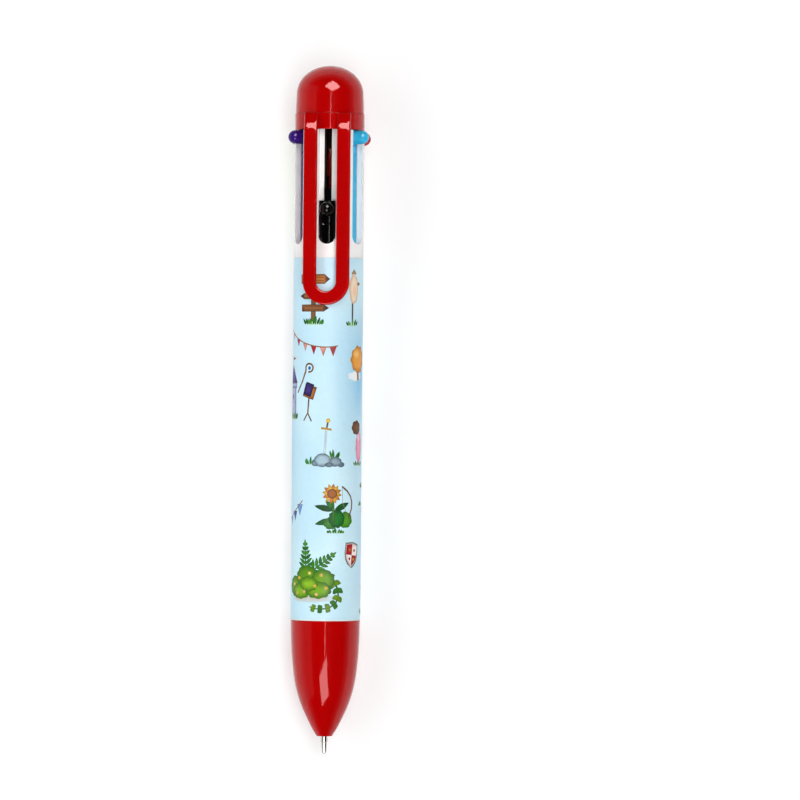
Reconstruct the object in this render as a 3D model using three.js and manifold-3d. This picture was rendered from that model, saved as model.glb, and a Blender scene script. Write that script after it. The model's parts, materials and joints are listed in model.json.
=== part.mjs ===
// A six-colour click pen. Six sliders, each with its own refill and spring, run in slots round a
// white tube. Pushing a slider forwards brings its writing point out through the nose.
//
// Units are millimetres. The pen lies along Y with its writing tip towards -Y and its clip up (+Z).
// A station is a length along the pen's axis. The deployed writing tip is at station TIP.
// Every piece is made with its station along Y and its own slot facing +Z, then turned to its slot.
import * as THREE from "three";
import { mergeVertices } from "three/addons/utils/BufferGeometryUtils.js";
import Module from "manifold-3d";

const wasm = await Module();
wasm.setup();

// ---- Driving dimensions -------------------------------------------------------------------

const TIP = -0.85; // station of the deployed writing tip
const TOP = 140; // station of the top of the dome
const BUTTON_REACH = 9.3; // pen axis to the tip of a button
const TRAVEL = 14.7; // a slider's stroke
const FIT = 0.1; // running gap between pieces that touch
const ROUND = 36; // facets round the body of the pen
const FINE = 10; // facets round a refill
const WELD = 1e-3; // vertices closer than this are one

const NOSE = {
  face: 2.8,
  faceRadius: 1.74,
  ogive: [
    [2.97, 5.1],
    [4.87, 9.2],
    [6.08, 13.3],
    [6.76, 18.4],
    [7.02, 23],
  ],
  seam: 26.5,
  seamRadius: 7.09,
  hole: 1.0,
  holeEnd: 5.0,
  funnelEnd: 13.5,
  bore: 5.15,
  spigot: 5.75,
  spigotEnd: 34,
  thread: 5.83,
  threadHalf: 0.5,
  threads: [29, 31, 33],
};

const BARREL = {
  start: 26.58,
  shoulder: 126.65,
  end: 129.9,
  outer: 7.12,
  underPrint: 6.96,
  bore: 5.9,
  neck: 5.3,
  counterbore: 36,
  ledge: 66.4,
  spigot: 6.35,
};

const PRINT = { start: 26.8, end: 100.55, inner: 7.04, outer: 7.14 };

const SLOT = { width: 3.56, bottom: 103.35 };

const GUIDE = {
  start: 100.5,
  end: 130.0,
  top: 131.8,
  outer: 5.8,
  floor: 4.75,
  bore: 4.0,
  channel: 3.5,
  slit: 1.5,
  flange: 6.3,
  flangeTop: 130.8,
  hole: 2.6,
};

const SEAT = { start: 66.6, end: 68, outer: 5.8, slotRadius: 1.2, centreHole: 1.0 };

const COLLAR = { start: 126.75, end: 130.1, outer: 7.1, inner: 6.5 };

const DOME = {
  rim: 130.25,
  rimRadius: 7.0,
  rimBore: 6.45,
  rimBoreEnd: 131.1,
  waist: 134.2,
  waistRadius: 6.84,
  hollowRadius: 5.95,
  hollowTop: 138.4,
  stem: 2.4,
  stemStart: 130.1,
};

const CLIP = {
  end: 90.9,
  opening: 93.7,
  root: 126.85,
  top: 130.1,
  width: 9.5,
  gap: 4.0,
  under: 7.56,
  face: 8.9,
  rootFace: 7.45,
  bend: 127.4,
  bendDrop: 0.16,
  bendReach: 0.9,
  endRound: 0.8,
  nub: 7.24,
  nubRound: 0.4,
  nubFlat: 1.4,
  nubEnd: 5,
};

const SLIDER = {
  button: 125.2, // station of the button's centre when its colour is put away
  buttonRadius: 1.38,
  plateWidth: 3.36,
  plateTop: 1.7, // from here on, stations are counted from the button's centre
  foot: -27.4,
  footTop: -25.2,
  plateInner: 4.85,
  plateOuter: 5.8,
  ribWidth: 1.36,
  ribInner: 2.9,
  webTop: 4.2,
  webBottom: -10.6,
  bladeWidth: 0.44,
  bladeInner: 1.5,
  camTop: -2.0,
  camPeak: -3.4,
  camLow: -7.4,
  camBottom: -7.9,
  camRadius: 0.62,
  camCentre: 1.9,
  footRadius: 1.35,
  pinRadius: 0.55,
  pinLength: 2.6,
};

const REFILL = {
  radius: 3.9, // pen axis to the refill's axis where it hangs from its slider
  tube: 1.05,
  tubeBore: 0.72,
  tubeStart: 8.9,
  ball: 0.38,
  lip: 0.24, // the writing point's own stations start at its ball's tip
  lipRadius: 0.46,
  coneRadius: 0.6,
  coneEnd: 2.3,
  point: 0.69,
  pointStart: 2.45,
  pointEnd: 6.0,
  collar: 1.12,
  collarStart: 7.2,
  stem: 0.62,
  stemEnd: 12,
};

const SPRING = { wire: 0.15, radius: 1.4, turns: 10, stepsPerTurn: 8, wireSides: 4 };

// The colours in order round the pen. The slot angle is measured from +Z towards +X.
const COLOURS = [
  { name: "black", slot: 0, plastic: 0x0b0b0d, deployed: true },
  { name: "light_blue", slot: 60, plastic: 0x33bfec },
  { name: "red", slot: 120, plastic: 0xb00818 },
  { name: "orange", slot: 180, plastic: 0xe2561a },
  { name: "lime", slot: 240, plastic: 0xa6d81c },
  { name: "purple", slot: 300, plastic: 0x33106f },
];

// ---- Worked-out dimensions ----------------------------------------------------------------

const SLOT_ANGLES = COLOURS.map(({ slot }) => THREE.MathUtils.degToRad(slot));
const PARKED_FOOT = SLIDER.button + SLIDER.foot;
const DEPLOYED_FOOT = PARKED_FOOT - TRAVEL;
const REFILL_LENGTH = Math.hypot(DEPLOYED_FOOT - TIP, REFILL.radius);
const LEAN = Math.asin(REFILL.radius / REFILL_LENGTH); // a deployed refill's angle to the pen axis
const REFILL_AT_SEAT = (SEAT.end - TIP) * Math.tan(LEAN);

// ---- Materials ----------------------------------------------------------------------------

const finish = (color, roughness, metalness = 0) =>
  new THREE.MeshStandardMaterial({ color, roughness, metalness });

const RED_PLASTIC = finish(0xc00d14, 0.22);
const WHITE_PLASTIC = finish(0xf4f3f2, 0.3);
const PRINTED_FILM = finish(0xb9def2, 0.35);
const CLEAR_TUBE = finish(0xdfe6ea, 0.3);
const NICKEL = finish(0xb4b3ae, 0.28, 1);
const SPRING_STEEL = finish(0xa7a9ac, 0.35, 1);

// ---- Shape helpers ------------------------------------------------------------------------

/** A closed three.js geometry as a manifold-3d solid. */
function solidOf(geometry) {
  const bare = geometry.clone();
  bare.deleteAttribute("normal");
  bare.deleteAttribute("uv");
  const merged = mergeVertices(bare, WELD);
  return new wasm.Manifold(
    new wasm.Mesh({
      numProp: 3,
      vertProperties: merged.attributes.position.array,
      triVerts: Uint32Array.from(merged.index.array),
    }),
  );
}

/** A manifold-3d solid as a three.js geometry. */
function geometryOf(solid) {
  const mesh = solid.getMesh();
  const geometry = new THREE.BufferGeometry();
  geometry.setAttribute("position", new THREE.BufferAttribute(mesh.vertProperties, 3));
  geometry.setIndex(new THREE.BufferAttribute(mesh.triVerts, 1));
  geometry.computeVertexNormals();
  return geometry;
}

/** Turns a profile of [radius, station] points about the pen's axis. */
function turned(profile, facets = ROUND) {
  return new THREE.LatheGeometry(
    profile.map(([radius, station]) => new THREE.Vector2(radius, station)),
    facets,
  );
}

/** Turns a ring or tube, whose profile closes on itself. */
function turnedRing(profile, facets = ROUND) {
  return turned([...profile, profile[0]], facets);
}

/** A plain tube between two stations. */
function tube(outer, inner, start, end, facets = ROUND) {
  const profile = [
    [inner, start],
    [outer, start],
    [outer, end],
    [inner, end],
  ];
  return turnedRing(profile, facets);
}

/** A plain rod between two stations, on the pen's axis. */
function rod(radius, start, end, facets = FINE) {
  const profile = [
    [0, start],
    [radius, start],
    [radius, end],
    [0, end],
  ];
  return turned(profile, facets);
}

/** A block centred across the slot, between two stations and two heights above the axis. */
function block(width, start, end, low, high) {
  return new THREE.BoxGeometry(width, end - start, high - low).translate(
    0,
    (start + end) / 2,
    (low + high) / 2,
  );
}

/** A flat outline, drawn across the slot and along the pen, raised from low to high. */
function raised(shape, low, high, curveSegments = 8) {
  const options = { depth: high - low, bevelEnabled: false, curveSegments };
  return new THREE.ExtrudeGeometry(shape, options).translate(0, 0, low);
}

/** Points on a smooth curve through [radius, station] points. */
function smooth(points, divisions) {
  return new THREE.SplineCurve(points.map((point) => new THREE.Vector2(...point)))
    .getPoints(divisions)
    .map(({ x, y }) => [x, y]);
}

/** A quarter of an ellipse, from its widest station up to the axis, as [radius, station]. */
function quarterArc(radius, height, station, divisions) {
  const points = Array.from({ length: divisions }, (_, i) => {
    const angle = (i / divisions) * (Math.PI / 2);
    return [radius * Math.cos(angle), station + height * Math.sin(angle)];
  });
  return [...points, [0, station + height]];
}

/** Cuts the same solid out of another one at all six slots. */
function cutAtEverySlot(solid, cutter) {
  const cuts = SLOT_ANGLES.map((angle) => solidOf(cutter.clone().rotateY(angle)));
  return cuts.reduce((left, cut) => left.subtract(cut), solid);
}

// ---- The body of the pen ------------------------------------------------------------------

/** The screwed-on nose: an ogive outside, a funnel inside that steers a refill to the hole. */
function noseCone() {
  const ogive = smooth(
    [
      [NOSE.faceRadius, NOSE.face],
      ...NOSE.ogive,
      [NOSE.seamRadius, NOSE.seam],
    ],
    10,
  );
  const thread = NOSE.threads.flatMap((middle) => [
    [NOSE.spigot, middle - NOSE.threadHalf],
    [NOSE.thread, middle],
    [NOSE.spigot, middle + NOSE.threadHalf],
  ]);
  return turnedRing([
    [NOSE.hole, NOSE.face],
    ...ogive,
    [NOSE.spigot, NOSE.seam],
    ...thread,
    [NOSE.spigot, NOSE.spigotEnd],
    [NOSE.bore, NOSE.spigotEnd],
    [NOSE.bore, NOSE.funnelEnd],
    [NOSE.hole, NOSE.holeEnd],
  ]);
}

/** The outline of one slot, open at the top and round at the bottom. */
function slotOutline() {
  const half = SLOT.width / 2;
  const shape = new THREE.Shape();
  shape.moveTo(half, TOP);
  shape.lineTo(-half, TOP);
  shape.lineTo(-half, SLOT.bottom + half);
  shape.absarc(0, SLOT.bottom + half, half, Math.PI, 2 * Math.PI, false);
  return shape;
}

/** The white tube: printed over its lower part, and slotted six times above that. */
function barrelTube() {
  const wall = turnedRing([
    [BARREL.bore, BARREL.start],
    [BARREL.outer, BARREL.start],
    [BARREL.outer, PRINT.start - FIT],
    [BARREL.underPrint, PRINT.start - FIT],
    [BARREL.underPrint, PRINT.end + FIT],
    [BARREL.outer, PRINT.end + FIT],
    [BARREL.outer, BARREL.shoulder],
    [BARREL.spigot, BARREL.shoulder],
    [BARREL.spigot, BARREL.end],
    [BARREL.bore, BARREL.end],
    [BARREL.bore, BARREL.ledge],
    [BARREL.neck, BARREL.ledge],
    [BARREL.neck, BARREL.counterbore],
    [BARREL.bore, BARREL.counterbore],
  ]);
  const slot = raised(slotOutline(), GUIDE.floor, BUTTON_REACH);
  return geometryOf(cutAtEverySlot(solidOf(wall), slot));
}

/** The printed film round the barrel. */
function printSleeve() {
  return tube(PRINT.outer, PRINT.inner, PRINT.start, PRINT.end);
}

/** The core behind the slots: a channel for each slider's plate and a slit for its web. */
function sliderGuide() {
  const { channel, slit, floor, bore, outer, start, end } = GUIDE;
  const core = solidOf(tube(outer, bore, start, end));
  const channels = cutAtEverySlot(core, block(channel, start - 1, end + 1, floor, outer + 1));
  const fingers = cutAtEverySlot(channels, block(slit, start - 1, end + 1, bore - 1, floor + 1));
  const crown = turnedRing([
    [GUIDE.hole, end - FIT],
    [outer, end - FIT],
    [outer, end],
    [GUIDE.flange, end],
    [GUIDE.flange, GUIDE.flangeTop],
    [outer, GUIDE.flangeTop],
    [outer, GUIDE.top],
    [GUIDE.hole, GUIDE.top],
  ]);
  return geometryOf(fingers.add(solidOf(crown)));
}

/** The disc that the springs push against, with a radial slot for each refill to lean in. */
function springSeat() {
  const disc = solidOf(tube(SEAT.outer, SEAT.centreHole, SEAT.start, SEAT.end));
  const low = SEAT.start - 1;
  const high = SEAT.end + 1;
  const parked = rod(SEAT.slotRadius, low, high).translate(0, 0, REFILL.radius);
  const leaning = rod(SEAT.slotRadius, low, high).translate(0, 0, REFILL_AT_SEAT);
  const between = block(2 * SEAT.slotRadius, low, high, REFILL_AT_SEAT, REFILL.radius);
  const cuts = [parked, leaning, between];
  return geometryOf(cuts.reduce((left, cut) => cutAtEverySlot(left, cut), disc));
}

/** The band that closes the slots and carries the clip. */
function clipCollar() {
  return tube(COLLAR.outer, COLLAR.inner, COLLAR.start, COLLAR.end);
}

/** The top cap: a hollow dome with a stem that plugs into the guide. */
function domeCap() {
  const { waist, waistRadius, hollowRadius, hollowTop } = DOME;
  const outside = quarterArc(waistRadius, TOP - waist, waist, 7);
  const inside = quarterArc(hollowRadius, hollowTop - waist, waist, 4)
    .filter(([radius]) => radius > DOME.stem)
    .reverse();
  const profile = [
    [0, DOME.stemStart],
    [DOME.stem, DOME.stemStart],
    [DOME.stem, DOME.hollowTop - FIT],
    ...inside,
    [DOME.hollowRadius, DOME.rimBoreEnd],
    [DOME.rimBore, DOME.rimBoreEnd],
    [DOME.rimBore, DOME.rim],
    [DOME.rimRadius, DOME.rim],
    ...outside,
  ];
  return turned(profile);
}

// ---- The clip -----------------------------------------------------------------------------

/** The clip from above: two legs joined by a round end. */
function clipPlan() {
  const outer = CLIP.width / 2;
  const inner = CLIP.gap / 2;
  const shape = new THREE.Shape();
  shape.moveTo(outer, CLIP.top);
  shape.lineTo(inner, CLIP.top);
  shape.lineTo(inner, CLIP.opening + inner);
  shape.absarc(0, CLIP.opening + inner, inner, 0, Math.PI, true);
  shape.lineTo(-inner, CLIP.top);
  shape.lineTo(-outer, CLIP.top);
  shape.lineTo(-outer, CLIP.end + outer);
  shape.absarc(0, CLIP.end + outer, outer, Math.PI, 2 * Math.PI, false);
  return shape;
}

/** The clip from the side, drawn as height above the pen's axis against station. */
function clipSide() {
  const { face, bend, end, under, nub, root } = CLIP;
  const low = COLLAR.outer / 2;
  const shape = new THREE.Shape();
  shape.moveTo(low, CLIP.top);
  shape.lineTo(CLIP.rootFace, CLIP.top);
  shape.lineTo(face - CLIP.bendDrop, bend);
  shape.quadraticCurveTo(face, bend - CLIP.bendReach / 2, face, bend - CLIP.bendReach);
  shape.lineTo(face, end + CLIP.endRound);
  shape.quadraticCurveTo(face, end, face - CLIP.endRound, end);
  shape.lineTo(nub + CLIP.nubRound, end);
  shape.quadraticCurveTo(nub, end, nub, end + CLIP.nubFlat);
  shape.quadraticCurveTo(nub, end + 2 * CLIP.nubFlat, under, end + CLIP.nubEnd);
  shape.lineTo(under, root - 2 * CLIP.nubRound);
  shape.quadraticCurveTo(under, root, under - CLIP.nubRound, root);
  shape.lineTo(low, root);
  return shape;
}

/** The sprung clip, seated over the collar's round outside. */
function pocketClip() {
  const plan = solidOf(raised(clipPlan(), 0, 2 * BUTTON_REACH, 10));
  const side = raised(clipSide(), -CLIP.width, CLIP.width, 4).rotateY(-Math.PI / 2);
  const seat = solidOf(rod(COLLAR.outer + FIT, CLIP.root - 5, CLIP.top + 1, ROUND));
  return geometryOf(plan.intersect(solidOf(side)).subtract(seat));
}

// ---- One colour's slider, refill and spring -----------------------------------------------

/** A round-ended peg standing out of the slot, centred on station zero. */
function button() {
  const { buttonRadius, plateInner } = SLIDER;
  const end = quarterArc(buttonRadius, buttonRadius, BUTTON_REACH - buttonRadius, 4);
  const profile = [[0, plateInner], [buttonRadius, plateInner], ...end];
  return turned(profile, 12).rotateX(Math.PI / 2);
}

/** The spindle-shaped cam that a pushed slider uses to unlatch its neighbour. */
function releaseCam() {
  const profile = [
    [0, SLIDER.camBottom],
    [SLIDER.camRadius, SLIDER.camLow],
    [SLIDER.camRadius, SLIDER.camPeak],
    [0, SLIDER.camTop],
  ];
  return turned(profile, 8).translate(0, 0, SLIDER.camCentre);
}

/** A slider: button, plate, rib, blade and cam in one moulding, with a foot and a refill pin. */
function slider() {
  const { plateWidth, plateInner, plateOuter, plateTop, foot, footTop } = SLIDER;
  const { webBottom, webTop, ribWidth, ribInner, bladeWidth, bladeInner, camTop } = SLIDER;
  const plate = solidOf(block(plateWidth, foot, plateTop, plateInner, BUTTON_REACH)).intersect(
    solidOf(rod(plateOuter, foot - 1, plateTop + 1, ROUND)),
  );
  const rib = block(ribWidth, webBottom, webTop, ribInner, plateOuter - 2 * FIT);
  const blade = block(bladeWidth, webBottom, camTop, bladeInner, ribInner + FIT);
  const footBlock = block(2 * SLIDER.footRadius, foot, footTop, REFILL.radius, plateInner + 2 * FIT);
  const footRound = rod(SLIDER.footRadius, foot, footTop).translate(0, 0, REFILL.radius);
  const pin = rod(SLIDER.pinRadius, foot - SLIDER.pinLength, footTop - 1).translate(
    0,
    0,
    REFILL.radius,
  );
  const joined = [rib, blade, footBlock, footRound, pin, releaseCam(), button()];
  return geometryOf(joined.reduce((whole, next) => whole.add(solidOf(next)), plate));
}

/** The refill's plastic tube, open at both ends. Its stations start at its own writing ball. */
function refillTube() {
  return tube(REFILL.tube, REFILL.tubeBore, REFILL.tubeStart, REFILL_LENGTH - FIT, FINE);
}

/** The metal writing point: a stepped nose with a pocket for the ball, a collar and a stem. */
function refillPoint() {
  const pocket = REFILL.ball + FIT / 3;
  return turned(
    [
      [0, 2 * pocket],
      [pocket, 2 * pocket],
      [pocket, REFILL.lip],
      [REFILL.lipRadius, REFILL.lip],
      [REFILL.coneRadius, REFILL.coneEnd],
      [REFILL.point, REFILL.pointStart],
      [REFILL.point, REFILL.pointEnd],
      [REFILL.collar, REFILL.collarStart],
      [REFILL.collar, REFILL.tubeStart - FIT],
      [REFILL.stem, REFILL.tubeStart - FIT],
      [REFILL.stem, REFILL.stemEnd],
      [0, REFILL.stemEnd],
    ],
    FINE,
  );
}

/** The ball in the writing point. */
function writingBall() {
  return new THREE.SphereGeometry(REFILL.ball, 8, 6).translate(0, REFILL.ball, 0);
}

/** The centre line of a coil spring standing along Y. */
class Coil extends THREE.Curve {
  constructor(length) {
    super();
    this.length = length;
  }

  getPoint(share, target = new THREE.Vector3()) {
    const angle = 2 * Math.PI * SPRING.turns * share;
    const across = SPRING.radius;
    return target.set(
      across * Math.cos(angle),
      this.length * share,
      across * Math.sin(angle),
    );
  }
}

/** A return spring round the refill, between the seat and the slider's foot. */
function returnSpring(length) {
  const corners = Array.from({ length: SPRING.wireSides }, (_, i) => {
    const angle = (i / SPRING.wireSides) * 2 * Math.PI;
    return new THREE.Vector2(Math.cos(angle), Math.sin(angle)).multiplyScalar(SPRING.wire);
  });
  return new THREE.ExtrudeGeometry(new THREE.Shape(corners), {
    extrudePath: new Coil(length),
    steps: SPRING.turns * SPRING.stepsPerTurn,
    bevelEnabled: false,
  });
}

// ---- The assembly -------------------------------------------------------------------------

function piece(name, geometry, material) {
  const mesh = new THREE.Mesh(geometry, material);
  mesh.name = name;
  return mesh;
}

/** One colour: its slider, and its refill and spring hung from the slider's foot. */
function colourSet({ name, slot, plastic, deployed = false }) {
  const moulding = finish(plastic, 0.25);
  const footStation = deployed ? DEPLOYED_FOOT : PARKED_FOOT;
  const pusher = piece(`slider_${name}`, slider(), moulding);
  pusher.position.y = footStation - SLIDER.foot;

  const springLength = (footStation - SEAT.end) / Math.cos(deployed ? LEAN : 0) - 8 * SPRING.wire;
  const spring = piece(`return_spring_${name}`, returnSpring(springLength), SPRING_STEEL);
  spring.position.y = -springLength - 2 * SPRING.wire;

  const refill = new THREE.Group();
  refill.add(
    piece(`refill_tube_${name}`, refillTube(), CLEAR_TUBE),
    piece(`refill_point_${name}`, refillPoint(), NICKEL),
    piece(`writing_ball_${name}`, writingBall(), NICKEL),
  );
  refill.position.y = -REFILL_LENGTH;

  const hung = new THREE.Group();
  hung.position.set(0, footStation, REFILL.radius);
  hung.rotation.x = deployed ? LEAN : 0;
  hung.add(refill, spring);

  const set = new THREE.Group();
  set.rotation.y = THREE.MathUtils.degToRad(slot);
  set.add(pusher, hung);
  return set;
}

const pen = new THREE.Group();
pen.position.set(0, -(TOP + TIP) / 2, BUTTON_REACH);
pen.add(
  piece("nose_cone", noseCone(), RED_PLASTIC),
  piece("barrel_tube", barrelTube(), WHITE_PLASTIC),
  piece("print_sleeve", printSleeve(), PRINTED_FILM),
  piece("slider_guide", sliderGuide(), WHITE_PLASTIC),
  piece("spring_seat", springSeat(), WHITE_PLASTIC),
  piece("clip_collar", clipCollar(), RED_PLASTIC),
  piece("pocket_clip", pocketClip(), RED_PLASTIC),
  piece("dome_cap", domeCap(), RED_PLASTIC),
  ...COLOURS.map(colourSet),
);

const part = new THREE.Group();
part.add(pen);
export default part;
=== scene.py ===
"""A six-colour click pen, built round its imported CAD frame.

The pen lies along Y with its writing tip towards -Y and its clip up. Inside this script a length is
in millimetres, and a place is (radius, station, slot angle): stations run along the pen's axis and
the dome's top is at station 140. pen_matrix() turns that into the row frame.
"""

import json
import math
import random

import bmesh
import bpy
import numpy as np
from mathutils import Matrix, Vector, noise
from mathutils.geometry import delaunay_2d_cdt


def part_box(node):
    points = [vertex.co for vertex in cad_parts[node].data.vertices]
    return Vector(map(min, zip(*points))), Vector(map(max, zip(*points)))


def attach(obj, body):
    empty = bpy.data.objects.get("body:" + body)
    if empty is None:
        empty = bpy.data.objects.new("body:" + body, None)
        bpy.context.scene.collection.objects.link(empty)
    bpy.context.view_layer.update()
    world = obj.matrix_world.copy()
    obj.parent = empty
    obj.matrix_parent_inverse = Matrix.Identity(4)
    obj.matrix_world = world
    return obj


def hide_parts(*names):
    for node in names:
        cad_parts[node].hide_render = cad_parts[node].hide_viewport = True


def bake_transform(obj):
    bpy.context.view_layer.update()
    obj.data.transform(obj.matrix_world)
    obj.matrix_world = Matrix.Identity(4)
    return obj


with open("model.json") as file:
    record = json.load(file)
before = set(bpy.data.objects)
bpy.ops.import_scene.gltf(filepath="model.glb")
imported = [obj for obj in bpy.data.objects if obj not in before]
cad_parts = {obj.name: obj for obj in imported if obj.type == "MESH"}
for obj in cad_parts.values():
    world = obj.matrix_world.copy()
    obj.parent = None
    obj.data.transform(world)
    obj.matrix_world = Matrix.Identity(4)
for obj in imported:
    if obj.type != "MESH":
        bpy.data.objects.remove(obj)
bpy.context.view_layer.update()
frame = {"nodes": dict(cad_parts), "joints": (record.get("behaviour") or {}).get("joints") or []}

MM = 0.001

# ---- Places read from the frame ---------------------------------------------------------------

TOP = 140
ZERO_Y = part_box("dome_cap")[1].y - TOP * MM
AXIS_Z = sum(corner.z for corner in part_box("barrel_tube")) / 2
JOINTS = {joint["name"]: joint for joint in frame["joints"]}


def station_of(y):
    """A row-frame y in metres as a station in millimetres."""
    return (y - ZERO_Y) / MM


def low_station(node):
    return station_of(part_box(node)[0].y)


def high_station(node):
    return station_of(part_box(node)[1].y)


# The colours in order round the pen, with the angle of each slot from +Z towards +X.
COLOURS = ("black", "light_blue", "red", "orange", "lime", "purple")
SLOT_STEP = 360 / len(COLOURS)

NOSE_FACE = low_station("nose_cone")
NOSE_END = high_station("nose_cone")
BARREL_START = low_station("barrel_tube")
NOSE_SEAM = BARREL_START - 0.04
BARREL_END = high_station("barrel_tube")
PRINT_START = low_station("print_sleeve")
PRINT_END = high_station("print_sleeve")
COLLAR_START = low_station("clip_collar")
COLLAR_END = high_station("clip_collar")
SEAT_TOP = high_station("spring_seat")
CLIP_END = low_station("pocket_clip")
CLIP_TOP = high_station("pocket_clip")
TIP = low_station("writing_ball_black")

# ---- Cross sizes, as in the CAD ---------------------------------------------------------------

BARREL_RADIUS = 7.12
BARREL_BORE = 5.9
PRINT_RADIUS = 7.14
PRINT_INNER = 7.04
COLLAR_RADIUS = 7.1
SLOT_WIDTH = 3.56
SLOT_BOTTOM = 103.35
BUTTON_REACH = 9.3
BUTTON_RADIUS = 1.38
BUTTON_ABOVE_FOOT = 27.4
REFILL_RADIUS = 1.05
REFILL_OFFSET = 3.9
SPRING_WIRE = 0.15
SPRING_RADIUS = 1.4
SPRING_TURNS = 12
ROUND = 144  # segments of a turned piece
# painted shade: inside the guide the plastics' colours are darkened by radius, not by lamps
GUIDE_CORE = 2.55  # the plastics are darkest from here out to the guide's outer faces
GUIDE_FACE = 4.2
INK_LEVEL = 66


# ---- Mesh helpers -----------------------------------------------------------------------------


def pen_matrix(angle=0.0):
    """From the pen's own millimetre frame, turned to a slot angle in degrees, to the row frame."""
    place = Matrix.Translation((0, ZERO_Y, AXIS_Z))
    return place @ Matrix.Rotation(math.radians(angle), 4, "Y") @ Matrix.Scale(MM, 4)


def linked(name, data):
    """A new object in the scene."""
    obj = bpy.data.objects.new(name, data)
    bpy.context.scene.collection.objects.link(obj)
    return obj


def new_object(name, verts, faces, matrix=None):
    """A mesh object from points in the pen's frame."""
    mesh = bpy.data.meshes.new(name)
    mesh.from_pydata([tuple(v) for v in verts], [], faces)
    mesh.transform(matrix if matrix is not None else pen_matrix())
    bm = bmesh.new()
    bm.from_mesh(mesh)
    bmesh.ops.recalc_face_normals(bm, faces=bm.faces)
    bm.to_mesh(mesh)
    bm.free()
    mesh.validate()
    return linked(name, mesh)


def rounded(points, closed=False, steps=4):
    """A polyline of (x, y) or (x, y, radius) points with each radius turned into an arc."""
    result = []
    count = len(points)
    for i, point in enumerate(points):
        here = Vector(point[:2])
        radius = point[2] if len(point) > 2 else 0
        if not radius or (not closed and i in (0, count - 1)):
            result.append(here)
            continue
        before = Vector(points[i - 1][:2]) - here
        after = Vector(points[(i + 1) % count][:2]) - here
        opening = before.angle(after)
        reach = min(before.length, after.length) * 0.49
        cut = min(radius / math.tan(opening / 2), reach)
        radius = cut * math.tan(opening / 2)
        middle = (before.normalized() + after.normalized()).normalized()
        centre = here + middle * (radius / math.sin(opening / 2))
        first = here + before.normalized() * cut - centre
        last = here + after.normalized() * cut - centre
        turn = math.atan2(first.cross(last), first.dot(last))
        for k in range(steps + 1):
            result.append(centre + Matrix.Rotation(turn * k / steps, 2) @ first)
    return result


def spline(points, per_span):
    """A smooth open curve through (x, y) points (Catmull-Rom)."""
    points = [Vector(p[:2]) for p in points]
    ends = [2 * points[0] - points[1], *points, 2 * points[-1] - points[-2]]
    result = []
    for a, b, c, d in zip(ends, ends[1:], ends[2:], ends[3:], strict=False):
        square, cube = 2 * a - 5 * b + 4 * c - d, 3 * b - a - 3 * c + d
        for t in (k / per_span for k in range(per_span)):
            result.append(0.5 * (2 * b + (c - a) * t + square * t**2 + cube * t**3))
    return [*result, points[-1]]


def quarter_arc(radius, height, station, steps):
    """Quarter of an ellipse from its widest station up to the axis."""
    angles = [math.pi / 2 * k / steps for k in range(steps)]
    arc = [Vector((radius * math.cos(a), station + height * math.sin(a))) for a in angles]
    return [*arc, Vector((0, station + height))]


def lathe(name, profile, closed=False, segments=ROUND, matrix=None):
    """Turns a profile of (radius, station) points about the pen's axis."""
    verts, rings = [], []
    for radius, station in (tuple(p[:2]) for p in profile):
        if radius < 1e-6:
            rings.append([len(verts)])
            verts.append((0, station, 0))
            continue
        rings.append(list(range(len(verts), len(verts) + segments)))
        for k in range(segments):
            angle = 2 * math.pi * k / segments
            verts.append((radius * math.sin(angle), station, radius * math.cos(angle)))
    faces = []
    pairs = list(zip(rings, rings[1:], strict=False)) + ([(rings[-1], rings[0])] if closed else [])
    for a, b in pairs:
        for k in range(segments):
            n = (k + 1) % segments
            corners = [a[k % len(a)], a[n % len(a)], b[n % len(b)], b[k % len(b)]]
            face = list(dict.fromkeys(corners))
            if len(face) > 2:
                faces.append(face)
    return new_object(name, verts, faces, matrix)


def prism(name, outline, low, high, matrix):
    """An outline across the slot and along the pen, raised from low to high above the axis."""
    count = len(outline)
    verts = [(x, y, z) for z in (low, high) for x, y in (tuple(p[:2]) for p in outline)]
    faces = [list(range(count)), list(range(count, 2 * count))]
    faces += [[k, (k + 1) % count, count + (k + 1) % count, count + k] for k in range(count)]
    return new_object(name, verts, faces, matrix)


def apply_modifiers(obj):
    """Turns an object's modifiers into its mesh."""
    graph = bpy.context.evaluated_depsgraph_get()
    mesh = bpy.data.meshes.new_from_object(obj.evaluated_get(graph))
    obj.modifiers.clear()
    obj.data = mesh
    return obj


def combine(obj, other, operation):
    """Joins, cuts or intersects obj with other, which is used up."""
    modifier = obj.modifiers.new(operation, "BOOLEAN")
    modifier.operation = operation
    modifier.object = other
    modifier.solver = "EXACT"
    apply_modifiers(obj)
    bpy.data.objects.remove(other)
    return obj


def soften(obj, width, segments):
    """Rounds an object's edges over 50 degrees, width in millimetres."""
    bevel = obj.modifiers.new("edges", "BEVEL")
    bevel.width = width * MM
    bevel.segments = segments
    bevel.limit_method = "ANGLE"
    bevel.angle_limit = math.radians(50)
    bevel.use_clamp_overlap = True
    bevel.miter_outer = "MITER_ARC"
    return apply_modifiers(obj)


def shade(obj, angle=40):
    """Smooth shading that keeps flat faces flat and edges over the angle sharp."""
    obj.data.shade_smooth()
    obj.data.set_sharp_from_angle(angle=math.radians(angle))
    weighted = obj.modifiers.new("normals", "WEIGHTED_NORMAL")
    weighted.keep_sharp = True
    weighted.weight = 90
    return apply_modifiers(obj)


def place(obj, body, nodes, slot, material):
    """Puts a finished piece on its body, in place of its CAD nodes, with its material."""
    obj.data.materials.clear()
    obj.data.materials.append(material)
    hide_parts(*nodes)
    if body is not None:
        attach(obj, body)
    return obj


# ---- Materials --------------------------------------------------------------------------------


def srgb(code):
    """An sRGB hex colour as linear red, green and blue."""
    values = [int(code[i : i + 2], 16) / 255 for i in (0, 2, 4)]
    return tuple(v / 12.92 if v <= 0.04045 else ((v + 0.055) / 1.055) ** 2.4 for v in values)


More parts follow.
